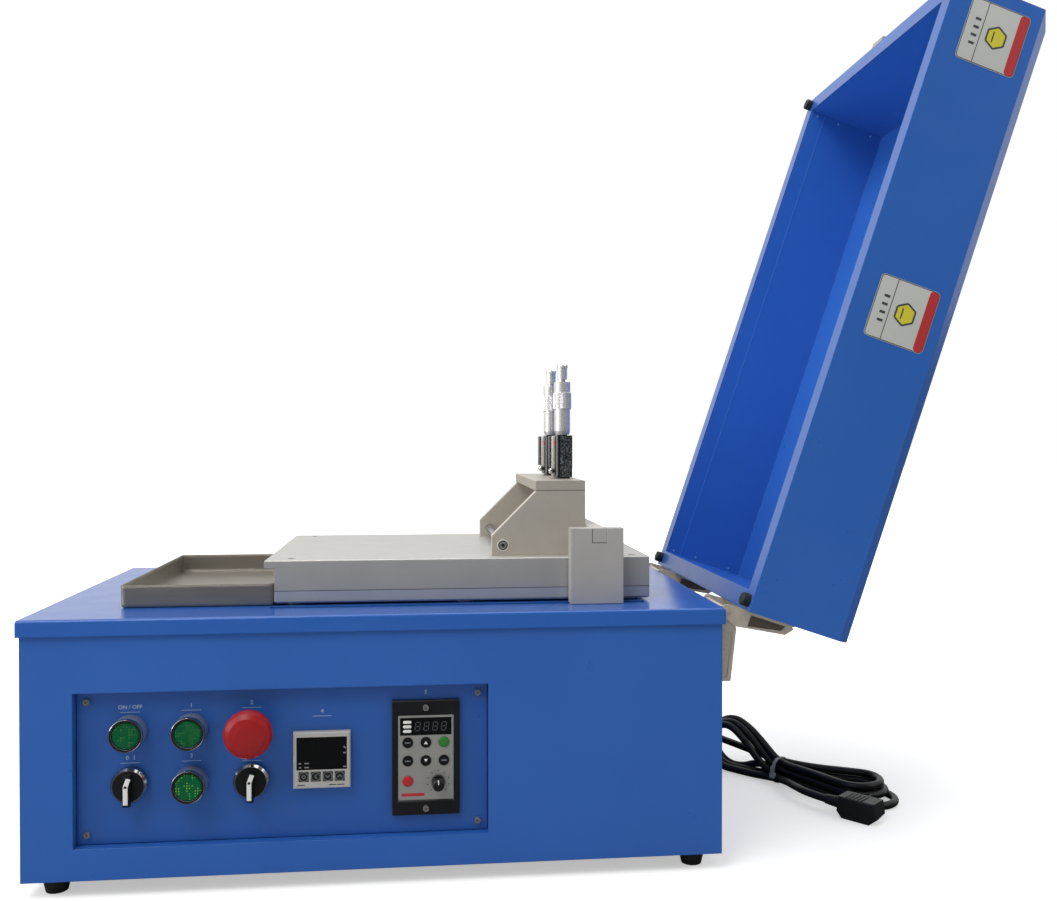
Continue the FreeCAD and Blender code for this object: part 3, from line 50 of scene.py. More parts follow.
FOCAL_PIXELS = 1028
IMAGE_WIDTH = 1057
SENSOR_WIDTH = 36
EYE = Vector((0.0315, -1.055, 0.383))
PITCH_DOWN = math.radians(0.7)
YAW_RIGHT = math.radians(6.03)


def place_camera():
    lens = bpy.data.cameras.new("photo_camera")
    lens.sensor_width = SENSOR_WIDTH
    lens.lens = SENSOR_WIDTH * FOCAL_PIXELS / IMAGE_WIDTH
    lens.clip_start = 0.05
    camera = bpy.data.objects.new("photo_camera", lens)
    level = Euler((math.pi / 2 - PITCH_DOWN, 0, -YAW_RIGHT)).to_matrix()
    camera.matrix_world = Matrix.Translation(EYE) @ level.to_4x4()
    scene.collection.objects.link(camera)
    scene.camera = camera


place_camera()


# Shader maths

def shade(text):
    """A colour written as on a paint card, #rrggbb, as the linear values that shaders take."""
    channels = [int(text[start:start + 2], 16) / 255 for start in (1, 3, 5)]
    linear = [c / 12.92 if c <= 0.04045 else ((c + 0.055) / 1.055) ** 2.4 for c in channels]
    return (*linear, 1)


def label(socket):
    """The label of the socket that a keyword such as base_color means."""
    return socket.replace("_", " ").title().replace("Ior", "IOR")


class Value:
    """A number that varies over a surface. Arithmetic on it adds Math nodes to its finish."""

    def __init__(self, finish, socket):
        self.finish = finish
        self.socket = socket

    def math(self, operation, first, second=0.0):
        return self.finish.node("Math", {"operation": operation}, {0: first, 1: second})

    def __add__(self, other):
        return self.math("ADD", self, other)

    def __sub__(self, other):
        return self.math("SUBTRACT", self, other)

    def __rsub__(self, other):
        return self.math("SUBTRACT", other, self)

    def __mul__(self, other):
        return self.math("MULTIPLY", self, other)

    def __truediv__(self, other):
        return self.math("DIVIDE", self, other)

    def __pow__(self, other):
        return self.math("POWER", self, other)

    def __gt__(self, other):
        return self.math("GREATER_THAN", self, other)

    def __lt__(self, other):
        return self.math("LESS_THAN", self, other)

    def __mod__(self, other):
        return self.math("FLOORED_MODULO", self, other)

    def __abs__(self):
        return self.math("ABSOLUTE", self)

    __radd__ = __add__

    def clipped(self):
        return self.finish.node("Clamp", {}, {0: self})


class Finish:
    """One material. Constants go straight on the shader, and values that vary are linked."""

    def __init__(self, name, colour, **constants):
        self.material = bpy.data.materials.new(name)
        self.material.use_nodes = True
        self.tree = self.material.node_tree
        self.shader = self.tree.nodes["Principled BSDF"]
        self.shader.inputs["Base Color"].default_value = shade(colour)
        for socket, level in constants.items():
            self.shader.inputs[label(socket)].default_value = level

    def node(self, kind, settings, sockets, output=0):
        made = self.tree.nodes.new("ShaderNode" + kind)
        for setting, choice in settings.items():
            setattr(made, setting, choice)
        for socket, given in sockets.items():
            self.plug(given, made.inputs[socket])
        return Value(self, made.outputs[output])

    def plug(self, given, socket):
        if isinstance(given, Value):
            self.tree.links.new(given.socket, socket)
        elif isinstance(given, str):
            socket.default_value = shade(given)
        else:
            socket.default_value = given

    def feed(self, **sockets):
        for socket, given in sockets.items():
            self.plug(given, self.shader.inputs[label(socket)])

    def place(self, stretch=(1, 1, 1)):
        """The surface point in metres, in the part's own frame, stretched along its axes."""
        point = self.node("TexCoord", {}, {}, "Object")
        return self.node("Mapping", {}, {"Vector": point, "Scale": stretch})

    def along(self, axis):
        return self.node("SeparateXYZ", {}, {0: self.place()}, axis)

    def grain(self, scale, detail, stretch=(1, 1, 1), roughness=0.5):
        """Noise from 0 to 1 with this many features in a metre."""
        return self.node("TexNoise", {}, {"Vector": self.place(stretch), "Scale": scale,
                                          "Detail": detail, "Roughness": roughness})

    def cells(self, scale):
        """The distance to the nearest of scattered points, this many in a metre."""
        return self.node("TexVoronoi", {"feature": "F1"},
                         {"Vector": self.place(), "Scale": scale})

    def blend(self, factor, first, second):
        return self.node("Mix", {"data_type": "RGBA"}, {0: factor, 6: first, 7: second}, 2)

    def bump(self, height, depth, worn_edge=0.0):
        """Raises the surface by depth metres where height is 1, and rounds its sharp edges."""
        sockets = {"Height": height, "Distance": depth}
        if worn_edge:
            sockets["Normal"] = self.node("Bevel", {"samples": 4}, {"Radius": worn_edge})
        self.feed(normal=self.node("Bump", {}, sockets))
        return self


# Finishes

def powder_coat(name, colour, deep, roughness=0.3, grain=0.00006):
    """Satin powder coat: orange-peel texture, slight clouding and a few dull patches."""
    coat = Finish(name, colour, roughness=roughness, coat_weight=0.2, coat_roughness=0.14,
                  specular_ior_level=0.35)
    cloud = coat.grain(9, 4)
    speck = coat.grain(1500, 2)
    tone = (cloud * 0.55 + speck * 0.45 - 0.25) * 1.3
    coat.feed(base_color=coat.blend(tone.clipped(), deep, colour))
    coat.feed(roughness=roughness - 0.06 + coat.grain(30, 5) * 0.12)
    peel = coat.grain(520, 2) * 0.7 + coat.grain(1700, 1) * 0.3
    return coat.bump(peel, grain, worn_edge=0.0012).material


def cast_metal(name, colour, worn, roughness=0.42, metallic=0.5, blast=0.00003):
    """Bead-blasted or fine-ground aluminium with a mottled tone and slightly broken edges."""
    metal = Finish(name, colour, metallic=metallic, roughness=roughness)
    mottle = metal.grain(45, 6) * 0.6 + metal.grain(800, 2) * 0.4
    metal.feed(base_color=metal.blend(mottle, colour, worn))
    metal.feed(roughness=roughness - 0.07 + metal.grain(70, 4) * 0.14)
    return metal.bump(metal.grain(2600, 2), blast, worn_edge=0.001).material


def brushed(name, colour, streak, direction, roughness=0.28, metallic=1.0, worn_edge=0.0):
    """Metal brushed along one axis, with long streaks in tone and gloss."""
    stretch = {"X": (6, 900, 900), "Y": (900, 6, 900)}[direction]
    metal = Finish(name, colour, metallic=metallic, roughness=roughness)
    lines = metal.grain(1, 4, stretch, roughness=0.6)
    smear = metal.grain(14, 3, (1, 3, 3))
    metal.feed(base_color=metal.blend((lines * 0.6 + smear * 0.5).clipped(), streak, colour))
    metal.feed(roughness=roughness - 0.08 + lines * 0.16 + smear * 0.08)
    return metal.bump(lines, 0.00002, worn_edge).material


def turned_metal(name, colour, shadow, roughness=0.2, metallic=1.0):
    """Satin chrome with fine turning marks around the axis."""
    metal = Finish(name, colour, metallic=metallic, roughness=roughness)
    rings = metal.grain(1, 3, (60, 60, 5200))
    smear = metal.grain(120, 3)
    metal.feed(base_color=metal.blend((rings * 0.3 + smear * 0.7).clipped(), shadow, colour))
    metal.feed(roughness=roughness - 0.03 + rings * 0.02 + smear * 0.04)
    return metal.bump(rings, 0.0000004).material


def plastic(name, colour, dull, roughness=0.4, texture=0.00002, scale=1800):
    """Moulded plastic with a fine spark-eroded texture."""
    moulded = Finish(name, colour, roughness=roughness, specular_ior_level=0.45)
    moulded.feed(base_color=moulded.blend(moulded.grain(60, 4), dull, colour))
    moulded.feed(roughness=roughness - 0.05 + moulded.grain(300, 3) * 0.1)
    return moulded.bump(moulded.grain(scale, 2), texture).material


def rubber(name, colour, dust, roughness=0.62, dustiness=0.5):
    """Moulded rubber with a little dust in its fine pores."""
    sheath = Finish(name, colour, roughness=roughness, specular_ior_level=0.4)
    pores = sheath.grain(1400, 3)
    dusty = (sheath.grain(40, 5) * pores * dustiness * 2).clipped()
    sheath.feed(base_color=sheath.blend(dusty, colour, dust))
    sheath.feed(roughness=roughness - 0.08 + sheath.grain(200, 3) * 0.16)
    return sheath.bump(pores, 0.00003).material


def crackle_paint():
    """Black wrinkle paint on the micrometer frames."""
    paint = Finish("crackle_black", "#26282b", roughness=0.45, specular_ior_level=0.5)
    wrinkle = ((paint.cells(620) * 0.9 + paint.grain(1000, 2) * 0.5 - 0.66) * 2.4).clipped()
    paint.feed(base_color=paint.blend(wrinkle, "#1e2023", "#5c6165"))
    paint.feed(roughness=0.3 + wrinkle * 0.35)
    return paint.bump(wrinkle, 0.00035).material


def lens(name, dark, glow, dots):
    """Green push-button lens with clouded depth, and bright dots on some prisms of a faint square
    grid as painted glints.
    """
    pitch = 0.0022
    half_prism = 0.0004
    glass = Finish(name, dark, roughness=0.4, specular_ior_level=0.12)
    across = abs(glass.along("X") % pitch - pitch / 2) < half_prism
    up = abs(glass.along("Z") % pitch - pitch / 2) < half_prism
    # Painted glints: bright dots on a random share of the prisms, as strong as dots allows.
    prism_glints = across * up * (glass.grain(220, 1) > 0.52) * dots
    depth = glass.blend(glass.grain(90, 2), dark, glow)
    glass.feed(base_color=glass.blend(prism_glints, depth, "#8fbf3a"))
    return glass.bump(glass.grain(900, 2), 0.00003).material


def galvanised():
    """Zinc spangle on inner sheet metal."""
    zinc = Finish("zinc_sheet", "#a9adb0", metallic=0.9, roughness=0.38)
    spangle = zinc.cells(90)
    zinc.feed(base_color=zinc.blend(spangle * 60.0 % 1.0, "#8f9498", "#b9bdc0"))
    zinc.feed(roughness=0.3 + zinc.grain(60, 3) * 0.2)
    return zinc.bump(zinc.grain(500, 2), 0.00002).material


def stamped_plate(name, colour, tarnished, roughness=0.34):
    """Zinc plate on the pressed hinges and the latch, clouded and spotted with tarnish."""
    sheet = Finish(name, colour, metallic=0.35, roughness=roughness)
    cloud = sheet.grain(60, 6)
    spots = (sheet.grain(420, 4) - 0.42) * 2.6
    sheet.feed(base_color=sheet.blend((cloud * 0.6 + spots * 0.35).clipped(), tarnished, colour))
    sheet.feed(roughness=roughness - 0.14 + cloud * 0.28)
    return sheet.bump(cloud * 0.6 + spots * 0.2, 0.00008, worn_edge=0.0008).material


def ink(name, colour, faded):
    """Screen-printed ink with tiny pinholes."""
    print_ink = Finish(name, colour, roughness=0.45)
    print_ink.feed(base_color=print_ink.blend(print_ink.grain(2600, 2), faded, colour),
                   roughness=0.4 + print_ink.grain(900, 2) * 0.15)
    return print_ink.bump(print_ink.grain(3000, 1), 0.00001).material


blue_coat = powder_coat("blue_coat", "#2e64b5", "#2759a6")
cover_coat = powder_coat("cover_coat", "#2c60b1", "#2658a5", 0.22, 0.00004)
# The control panel in a darker copy of the blue coat: painted shade in its recess.
recess_shaded_coat = powder_coat("recess_shaded_coat", "#2b5dab", "#24529b")
# The lid's liner in a lighter copy of the blue coat: painted light inside the open lid.
liner_lit_coat = powder_coat("liner_lit_coat", "#3670cb", "#2d63ba")
bed_metal = cast_metal("bed_metal", "#c9c7c2", "#b7b5b0", 0.4)
bed_side_metal = cast_metal("bed_side_metal", "#c3c6ce", "#b0b4be", 0.45)
applicator_metal = cast_metal("applicator_metal", "#d3ccc0", "#bfb7aa", 0.46)
# The top bar in a darker copy of the cheeks' aluminium: painted shade on its brightly lit front.
crossbar_shaded_metal = cast_metal("crossbar_shaded_metal", "#ccc5b9", "#bab2a6", 0.46)
upright_metal = cast_metal("upright_metal", "#d3cfc9", "#c1bdb7", 0.44)
tray_steel = brushed("tray_steel", "#a8a297", "#79736a", "X", 0.34, 0.65, 0.004)
blade_steel = brushed("blade_steel", "#b9b7b2", "#8d8a85", "Y", 0.25)
rod_steel = turned_metal("rod_steel", "#b5b5b6", "#8e8f92", 0.24)
chrome = turned_metal("chrome", "#d4d4d4", "#adaeb1", 0.16)
thimble_chrome = turned_metal("thimble_chrome", "#f0efec", "#dddbd8", 0.27, 0.6)
bezel_metal = cast_metal("bezel_metal", "#98a1b0", "#808a9b", 0.3, 0.6, 0.00001)
screw_steel = brushed("screw_steel", "#bdbab4", "#8b8883", "X", 0.3, 0.7)
crackle_black = crackle_paint()
black_plastic = plastic("black_plastic", "#191a1c", "#101113", 0.42)
key_plastic = plastic("key_plastic", "#17181a", "#101113", 0.5)
segment_grey = plastic("segment_grey", "#4a4d50", "#3c3f42", 0.5)
grey_plastic = plastic("grey_plastic", "#aeada8", "#9d9c98", 0.45)
silver_plate = cast_metal("silver_plate", "#a9a8a4", "#9a9995", 0.4, 0.4, 0.00002)
smoked_window = plastic("smoked_window", "#07080a", "#050607", 0.1, 0.000003)
red_plastic = plastic("red_plastic", "#a01014", "#8d0c10", 0.36)
pad_black = plastic("pad_black", "#151618", "#0e0f10", 0.38)
black_rubber = rubber("black_rubber", "#141415", "#3a3a3a")
cord_rubber = rubber("cord_rubber", "#0f1011", "#2a2b2c", 0.38, 0.25)
heater_rubber = rubber("heater_rubber", "#8a4a2c", "#a66a48")
motor_paint = plastic("motor_paint", "#1f2022", "#141516", 0.5, 0.00006, 700)
zinc_sheet = galvanised()
plated = stamped_plate("plated", "#eee3d0", "#cabfad")
latch_plate = stamped_plate("latch_plate", "#c2b9ab", "#a29a8c")
# A darker copy of the hinge plating: painted shade in the pressed pockets of the hinge arms.
pocket_shade_plate = stamped_plate("pocket_shade_plate", "#7d7261", "#60574a", 0.45)
# Green lenses; the heating light's lens has painted glints on more of its prisms.
dark_lens = lens("dark_lens", "#024a2a", "#045c36", 0.35)
bright_lens = lens("bright_lens", "#034e2b", "#066238", 1.0)
tie_nylon = plastic("tie_nylon", "#8f9498", "#7c8185", 0.4)
pale_ink = ink("pale_ink", "#a9bcd9", "#6f8bb8")
grey_ink = ink("grey_ink", "#8b8d8e", "#5f6163")
dark_ink = ink("dark_ink", "#2a2c30", "#4a4c50")
white_ink = ink("white_ink", "#e6e6e2", "#c9c9c4")
red_ink = ink("red_ink", "#b91f24", "#a0252a")
yellow_ink = ink("yellow_ink", "#cfc52c", "#b9b02b")
green_pad = plastic("green_pad", "#2c7d2c", "#226a24", 0.42)
red_pad = plastic("red_pad", "#c01a22", "#a3151c", 0.42)
label_film = ink("label_film", "#b9bbb5", "#aeb0ab")
# Paler blues than the liner: painted highlights on the liner's weld bumps and along its folds.
weld_highlight_paint = ink("weld_highlight_paint", "#8db2e4", "#6f97cf")
fold_highlight_paint = ink("fold_highlight_paint", "#4b83d6", "#3d74c6")
silver_rim = cast_metal("silver_rim", "#efece5", "#dcd9d2", 0.35, 0.3, 0.00001)

FINISHES = {
    blue_coat: ["housing_shell", "lid_shell"],
    cover_coat: ["top_cover"],
    recess_shaded_coat: ["control_panel"],
    liner_lit_coat: ["lid_liner"],
    black_rubber: ["feet", "lid_bumpers"],
    screw_steel: ["panel_screws", "bed_screws"],
    bezel_metal: ["push_button_bezels", "stop_base"],
    chrome: ["selector_bezels"],
    thimble_chrome: ["near_thimble", "far_thimble"],
    grey_plastic: ["temperature_controller"],
    smoked_window: ["display_windows"],
    black_plastic: ["speed_frame", "mode_knob", "direction_knob", "speed_knob", "cord_gland",
                    "plug"],
    silver_plate: ["speed_controller"],
    pad_black: ["speed_keypad"],
    key_plastic: [f"thermo_key_{number}" for number in range(1, 5)],
    bed_side_metal: ["bed_base_plate", "bed_spacers"],
    bed_metal: ["bed_plate"],
    heater_rubber: ["bed_heater"],
    upright_metal: ["pusher_uprights", "pusher_bar", "crosshead", "drive_end_blocks",
                    "shaft_coupling"],
    rod_steel: ["guide_rods", "lead_screw", "applicator_tie_rod"],
    motor_paint: ["drive_motor"],
    zinc_sheet: ["electrics", "bottom_plate"],
    plated: ["hinge_leaves", "hinge_arms"],
    latch_plate: ["latch_base", "latch_lever", "latch_bail", "latch_keeper"],
    tray_steel: ["spill_tray"],
    blade_steel: ["coating_blade"],
    applicator_metal: ["applicator_cheeks"],
    crossbar_shaded_metal: ["applicator_crossbar"],
    crackle_black: ["micrometer_frames"],
    dark_lens: ["power_cap", "start_cap"],
    bright_lens: ["heating_cap"],
    red_plastic: ["stop_head"],
    cord_rubber: ["cord", "cord_hank"],
}


def finish_cad_nodes():
    for material, names in FINISHES.items():
        for name in names:
            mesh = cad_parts[name].data
            mesh.materials.clear()
            mesh.materials.append(material)


finish_cad_nodes()


# Places, all in millimetres

FRONT = Matrix(((1, 0, 0, 0), (0, 0, -1, 0), (0, 1, 0, 0), (0, 0, 0, 1)))
LEFTWARD = Matrix(((0, 0, -1, 0), (-1, 0, 0, 0), (0, 1, 0, 0), (0, 0, 0, 1)))
OUTWARD = Matrix(((0, 0, 1, 0), (1, 0, 0, 0), (0, 1, 0, 0), (0, 0, 0, 1)))


def shift(x, y, z):
    return Matrix.Translation(Vector((x, y, z)) * MM)


def on_front(x, y, z, turn=0):
    """A place facing the viewer, with its own X to the right and Y up."""
    return shift(x, y, z) @ FRONT @ Matrix.Rotation(math.radians(turn), 4, "Z")


def corners_of(name):
    """The low and high corners of a node's box."""
    return tuple(Vector(corner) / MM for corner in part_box(name))


def middle(name):
    low, high = corners_of(name)
    return (low + high) / 2


def near_face(name):
    """The Y of a node's side that is nearest the viewer."""
    return corners_of(name)[0].y


# Shapes, all in millimetres

def piece(name, builds, material, body, crease=40):
    """What the builds make, as one piece that rides on a body, smooth between sharp edges."""
    shape = bmesh.new()
    for build in builds:
        build(shape)
    mesh = bpy.data.meshes.new(name)
    shape.to_mesh(mesh)
    shape.free()
    mesh.materials.append(material)
    for face in mesh.polygons:
        face.use_smooth = True
    mesh.set_sharp_from_angle(angle=math.radians(crease))
    made = bpy.data.objects.new(name, mesh)
    scene.collection.objects.link(made)
    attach(made, body)
    return made


def skin(shape, rings):
    """Faces from each ring of vertices to the next."""
    for low, high in zip(rings, rings[1:]):
        for step in range(len(low)):
            after = (step + 1) % len(low)
            shape.faces.new((low[step], low[after], high[after], high[step]))


def lathe(profile, steps, spot):
    """A turned form: profile is radius and height about the place's own Z axis."""
    turns = [2 * math.pi * step / steps for step in range(steps)]

    def build(shape):
        skin(shape, [[shape.verts.new(spot @ (Vector((radius * math.cos(turn),
                                                      radius * math.sin(turn), height)) * MM))
                      for turn in turns] for radius, height in profile])
        bmesh.ops.remove_doubles(shape, verts=shape.verts, dist=1e-7)
        bmesh.ops.recalc_face_normals(shape, faces=shape.faces)
    return build


def ring(inner, outer, height, spot, count=40):
    """A raised flat ring with broken edges."""
    break_width = 0.1
    return lathe([(inner, 0), (inner + break_width, height), (outer - break_width, height),
                  (outer, 0)], count, spot)


def dome(radius, height, spot, rows=10):
    """A ball, or a low button standing out to both sides of its place."""
    turns = [math.pi * row / rows for row in range(rows + 1)]
    return lathe([(radius * math.sin(turn), -height * math.cos(turn)) for turn in turns],
                 2 * rows, spot)


def plate(corners, thickness, spot, bevel=0.0):
    """A flat plate: corners in the place's own XY plane, thickness along its own Z."""
    def build(shape):
        own = bmesh.new()
        face = own.faces.new([own.verts.new(Vector((x, y, 0)) * MM) for x, y in corners])
        grown = bmesh.ops.extrude_face_region(own, geom=[face])
        top = [item for item in grown["geom"] if isinstance(item, bmesh.types.BMVert)]
        bmesh.ops.translate(own, verts=top, vec=(0, 0, thickness * MM))
        if bevel:
            rim = [edge for edge in own.edges
                   if all(end.co.z > thickness * MM / 2 for end in edge.verts)]
            bmesh.ops.bevel(own, geom=rim, offset=bevel * MM, segments=2, affect="EDGES",
                            profile=0.7)
        bmesh.ops.transform(own, matrix=spot, verts=own.verts)
        bmesh.ops.recalc_face_normals(own, faces=own.faces)
        mesh = bpy.data.meshes.new("plate")
        own.to_mesh(mesh)
        own.free()
        shape.from_mesh(mesh)
        bpy.data.meshes.remove(mesh)
    return build


def rounded(width, height, radius, steps=5, centre=(0, 0)):
    """The corners of a rounded rectangle."""
    corners = []
    for sign_x, sign_y, start in ((1, 1, 0), (-1, 1, 90), (-1, -1, 180), (1, -1, 270)):
        for step in range(steps + 1):
            turn = math.radians(start + 90 * step / steps)
            corners.append((centre[0] + sign_x * (width / 2 - radius) + radius * math.cos(turn),
                            centre[1] + sign_y * (height / 2 - radius) + radius * math.sin(turn)))
    return corners


def around(radius, count, start=0.0, sweep=360.0):
    """Points on a circle, the first repeated at the end when it goes all the way round."""
    turns = [math.radians(start + sweep * step / count) for step in range(count + 1)]
    return [(radius * math.cos(turn), radius * math.sin(turn)) for turn in turns]


def disc(radius, thickness, spot, count):
    return plate(around(radius, count)[:-1], thickness, spot)


def bar(start, end, width, thickness, spot):
    """A straight stroke between two points."""
    start, end = Vector(start), Vector(end)
    along = end - start
    aside = Vector((-along.y, along.x)).normalized() * width / 2
    return plate([start - aside, end - aside, end + aside, start + aside], thickness, spot)


def stroke(points, width, thickness, spot):
    """Bars from each point to the next."""
    return [bar(start, end, width, thickness, spot) for start, end in zip(points, points[1:])]


def lettering(words, height, thickness, spot):
    """Plain raised characters, centred on their place, with capitals of this height."""
    size_of_capital = 1.38
    curve = bpy.data.curves.new("lettering", "FONT")
    curve.body = words
    curve.size = height * size_of_capital * MM
    curve.align_x = "CENTER"
    curve.align_y = "CENTER"
    curve.extrude = thickness / 2 * MM
    curve.offset = 0.11 * MM
    curve.resolution_u = 3
    holder = bpy.data.objects.new("lettering", curve)
    scene.collection.objects.link(holder)
    mesh = bpy.data.meshes.new_from_object(holder)
    bpy.data.objects.remove(holder)
    mesh.transform(spot @ shift(0, 0, thickness / 2))
    return lambda shape: shape.from_mesh(mesh)


# Mains lead

HANK = Vector((0.371, 0.126, 0))
HANK_TURN = math.radians(-50)
CORD_DIAMETER = 0.008
PLUG_MIDDLE = (212, -49, 12.1)
PLUG_TOP = 21.9
TIE_MIDDLE = (96, -4.2, 13.7)


def by_hank(along, aside, height):
    """A point in the hank's own frame, in millimetres, as a point of the part in metres."""
    flat = Vector((along, aside, height)) * MM
    return HANK + Matrix.Rotation(HANK_TURN, 3, "Z") @ flat


def hank_place(along, aside, height):
    return (Matrix.Translation(by_hank(along, aside, height))
            @ Matrix.Rotation(HANK_TURN, 4, "Z"))


def flat_fold(along, aside, height, radius):
    """A turn lying flat at the hank's right end, from its back run round to its front run."""
    reach = radius / math.cos(math.radians(21))
    return [(along + reach * math.cos(turn), aside + reach * math.sin(turn), height)
            for turn in map(math.radians, (84, 42, 0, -42, -84))]


def upright_fold(along, aside, height, radius):
    """A turn standing at the hank's left end, from the rising run at its top to its bottom."""
    reach = radius / math.cos(math.radians(20.5))
    return [(along - reach * math.cos(turn), aside, height + reach * math.sin(turn))
            for turn in map(math.radians, (94.5, 53.5, 12.5, -28.5, -69.5))]


def lead_route():
    """Out of the housing, three times round the hank and on to the plug."""
    out = [Vector(spot) * MM for spot in ((313, 150, 40), (336, 150, 39), (359, 146, 34),
                                          (380, 135, 28))]
    wound = [(32, 11, 25), (64, 7, 22.5), (96, 4, 20.7), (130, 9, 20.7), (162, 23, 20.7),
             *flat_fold(181, 6, 20.7, 24.5),
             (162, -15, 20.7), (130, -8, 20.7), (96, -4, 20.7), (74, 0, 37), (55, 3, 50),
             *upright_fold(33, 3, 30.8, 26.5),
             (44, 3, 4.3), (62, 5, 12.5), (96, 4, 12.5), (130, 9, 12.5), (165, 24, 12.5),
             *flat_fold(185, 6, 12.5, 25.5),
             (165, -16, 12.5), (130, -8, 12.5), (96, -4, 12.5), (74, -6.5, 29.5),
             (56, -5, 46.5),
             *upright_fold(34, -5, 29.8, 25.5),
             (45, -5, 4.3), (70, 1, 4.3), (96, 4, 4.3), (130, 9, 4.3), (173, 26, 4.3),
             *flat_fold(195, 6, 4.3, 26.5),
             (173, -18, 4.3), (130, -9, 4.3), (96, -4.2, 4.3), (76, -12.5, 18.5),
             (56, -13, 41),
             *upright_fold(34, -13, 28.8, 24.5),
             (45, -13, 4.3), (70, -13, 4.6), (96, -12.6, 6.5), (114, -22, 9.5), (133, -37, 12),
             (154, -47, 12.3), (176, -49, 12.1)]
    return out + [by_hank(*spot) for spot in wound]


def length_of(route):
    return sum((after - before).length for before, after in zip(route, route[1:]))


def mains_lead():
    """The lead as one spline with a round section, and its length."""
    curve = bpy.data.curves.new("mains_lead", "CURVE")
    curve.dimensions = "3D"
    spline = curve.splines.new("NURBS")
    route = lead_route()
    spline.points.add(len(route) - 1)
    for point, spot in zip(spline.points, route):
        point.co = (*spot, 1)
    spline.order_u = 3
    spline.use_endpoint_u = True
    spline.resolution_u = 6
    lead = bpy.data.objects.new("mains_lead", curve)
    scene.collection.objects.link(lead)
    smooth = bpy.data.meshes.new_from_object(lead)
    run = length_of([vertex.co for vertex in smooth.vertices])
    curve.bevel_depth = CORD_DIAMETER / 2
    curve.bevel_resolution = 5
    curve.use_fill_caps = True
    curve.materials.append(cord_rubber)
    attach(lead, "housing")
    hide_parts("cord", "cord_hank")
    return lead, run


def plug_details():
    """Rings round the plug's tapered strain relief and grip ribs across its back."""
    along_plug = Matrix.Rotation(-math.pi / 2, 4, "Y")
    middle_along, aside, height = PLUG_MIDDLE
    first_ring, first_reach, taper = -21, 5.75, 0.075
    parts = []
    for back in (0, 3.5, 7, 10.5):
        reach = first_reach - back * taper
        spot = hank_place(middle_along + first_ring - back, aside, height) @ along_plug
        parts.append(lathe([(reach - 0.6, -1.0), (reach + 0.35, -0.7), (reach + 0.35, 0.7),
                            (reach - 0.7, 1.0)], 28, spot))
    parts += [plate(rounded(1.6, 17, 0.7), 0.8,
                    hank_place(middle_along + along, aside, PLUG_TOP), 0.3)
              for along in (-10, -6, -2, 2, 6)]
    return piece("plug_grip", parts, black_plastic, "housing")


def cable_tie():
    """A nylon tie drawn round the bundle, with its lock and its cut tail."""
    strap_thickness = 0.9
    half_width = 1.7
    spot = hank_place(*TIE_MIDDLE) @ Euler((math.pi / 2, 0, math.pi / 2)).to_matrix().to_4x4()

    def strap(shape):
        inner = [Vector((x, y, 0)) for x, y in rounded(27.4, 25.4, 10, 7)]
        outer = [point.normalized() * (point.length + strap_thickness) for point in inner]
        rings = [[shape.verts.new(spot @ ((point + Vector((0, 0, depth))) * MM))
                  for point in loop]
                 for loop, depth in ((inner, -half_width), (outer, -half_width),
                                     (outer, half_width), (inner, half_width))]
        skin(shape, rings + rings[:1])
        bmesh.ops.recalc_face_normals(shape, faces=shape.faces)

    lock = plate(rounded(4.6, 5.6, 0.8), 5.2, spot @ shift(-15.2, -3, -2.6), 0.5)
    tail = plate(rounded(1.2, 9, 0.4), 3.2, spot @ shift(-16.4, 2.5, -1.6), 0.3)
    return piece("cable_tie", [strap, lock, tail], tie_nylon, "housing")


lead, lead_length = mains_lead()
tie = cable_tie()
plug_details()


# Control panel

PANEL_FRONT = near_face("control_panel")
LEFT_COLUMN = middle("mode_knob").x
RIGHT_COLUMN = middle("direction_knob").x
MIDDLE_COLUMN = (LEFT_COLUMN + RIGHT_COLUMN) / 2
UPPER_ROW = middle("power_cap").z
LOWER_ROW = middle("heating_cap").z
THERMO_COLUMN = middle("temperature_controller").x
SPEED_COLUMN = middle("speed_frame").x
PRINT = 0.1


def panel_captions():
    """Plain captions over the controls: numbers, and the common marks for on and off."""
    raised = 0.12
    captions = [("ON / OFF", LEFT_COLUMN, 156.6), ("1", MIDDLE_COLUMN, 157),
                ("2", RIGHT_COLUMN, 158), ("0   I", LEFT_COLUMN, 113.8),
                ("3", MIDDLE_COLUMN, 114), ("0   I", RIGHT_COLUMN, 112.6),
                ("4", THERMO_COLUMN, 149), ("5", SPEED_COLUMN, 163)]
    parts = [lettering(words, 3.4, raised, on_front(x, PANEL_FRONT, z))
             for words, x, z in captions]
    parts += [bar((-8, 0), (8, 0), 0.45, raised, on_front(x, PANEL_FRONT, z - 4.2))
              for words, x, z in captions[:-1]]
    piece("panel_captions", parts, pale_ink, "housing")


def button_trims():
    """A black sealing ring round each push button's lens, and a bright lip outside it."""
    seal = [(11.75, 0), (11.8, 0.35), (12.6, 0.35), (12.9, 0)]
    lip = [(12.9, 0), (13.0, 0.3), (13.3, 0.42), (13.7, 0.2), (13.9, -0.5), (14.06, -0.9),
           (14.06, -2.4), (13.98, -2.6)]
    spots = [on_front(x, near_face("push_button_bezels"), z)
             for x, z in ((LEFT_COLUMN, UPPER_ROW), (MIDDLE_COLUMN, UPPER_ROW),
                          (MIDDLE_COLUMN, LOWER_ROW))]
    piece("button_seals", [lathe(seal, 64, spot) for spot in spots], black_plastic, "housing")
    piece("button_lips", [lathe(lip, 64, spot) for spot in spots], chrome, "housing")


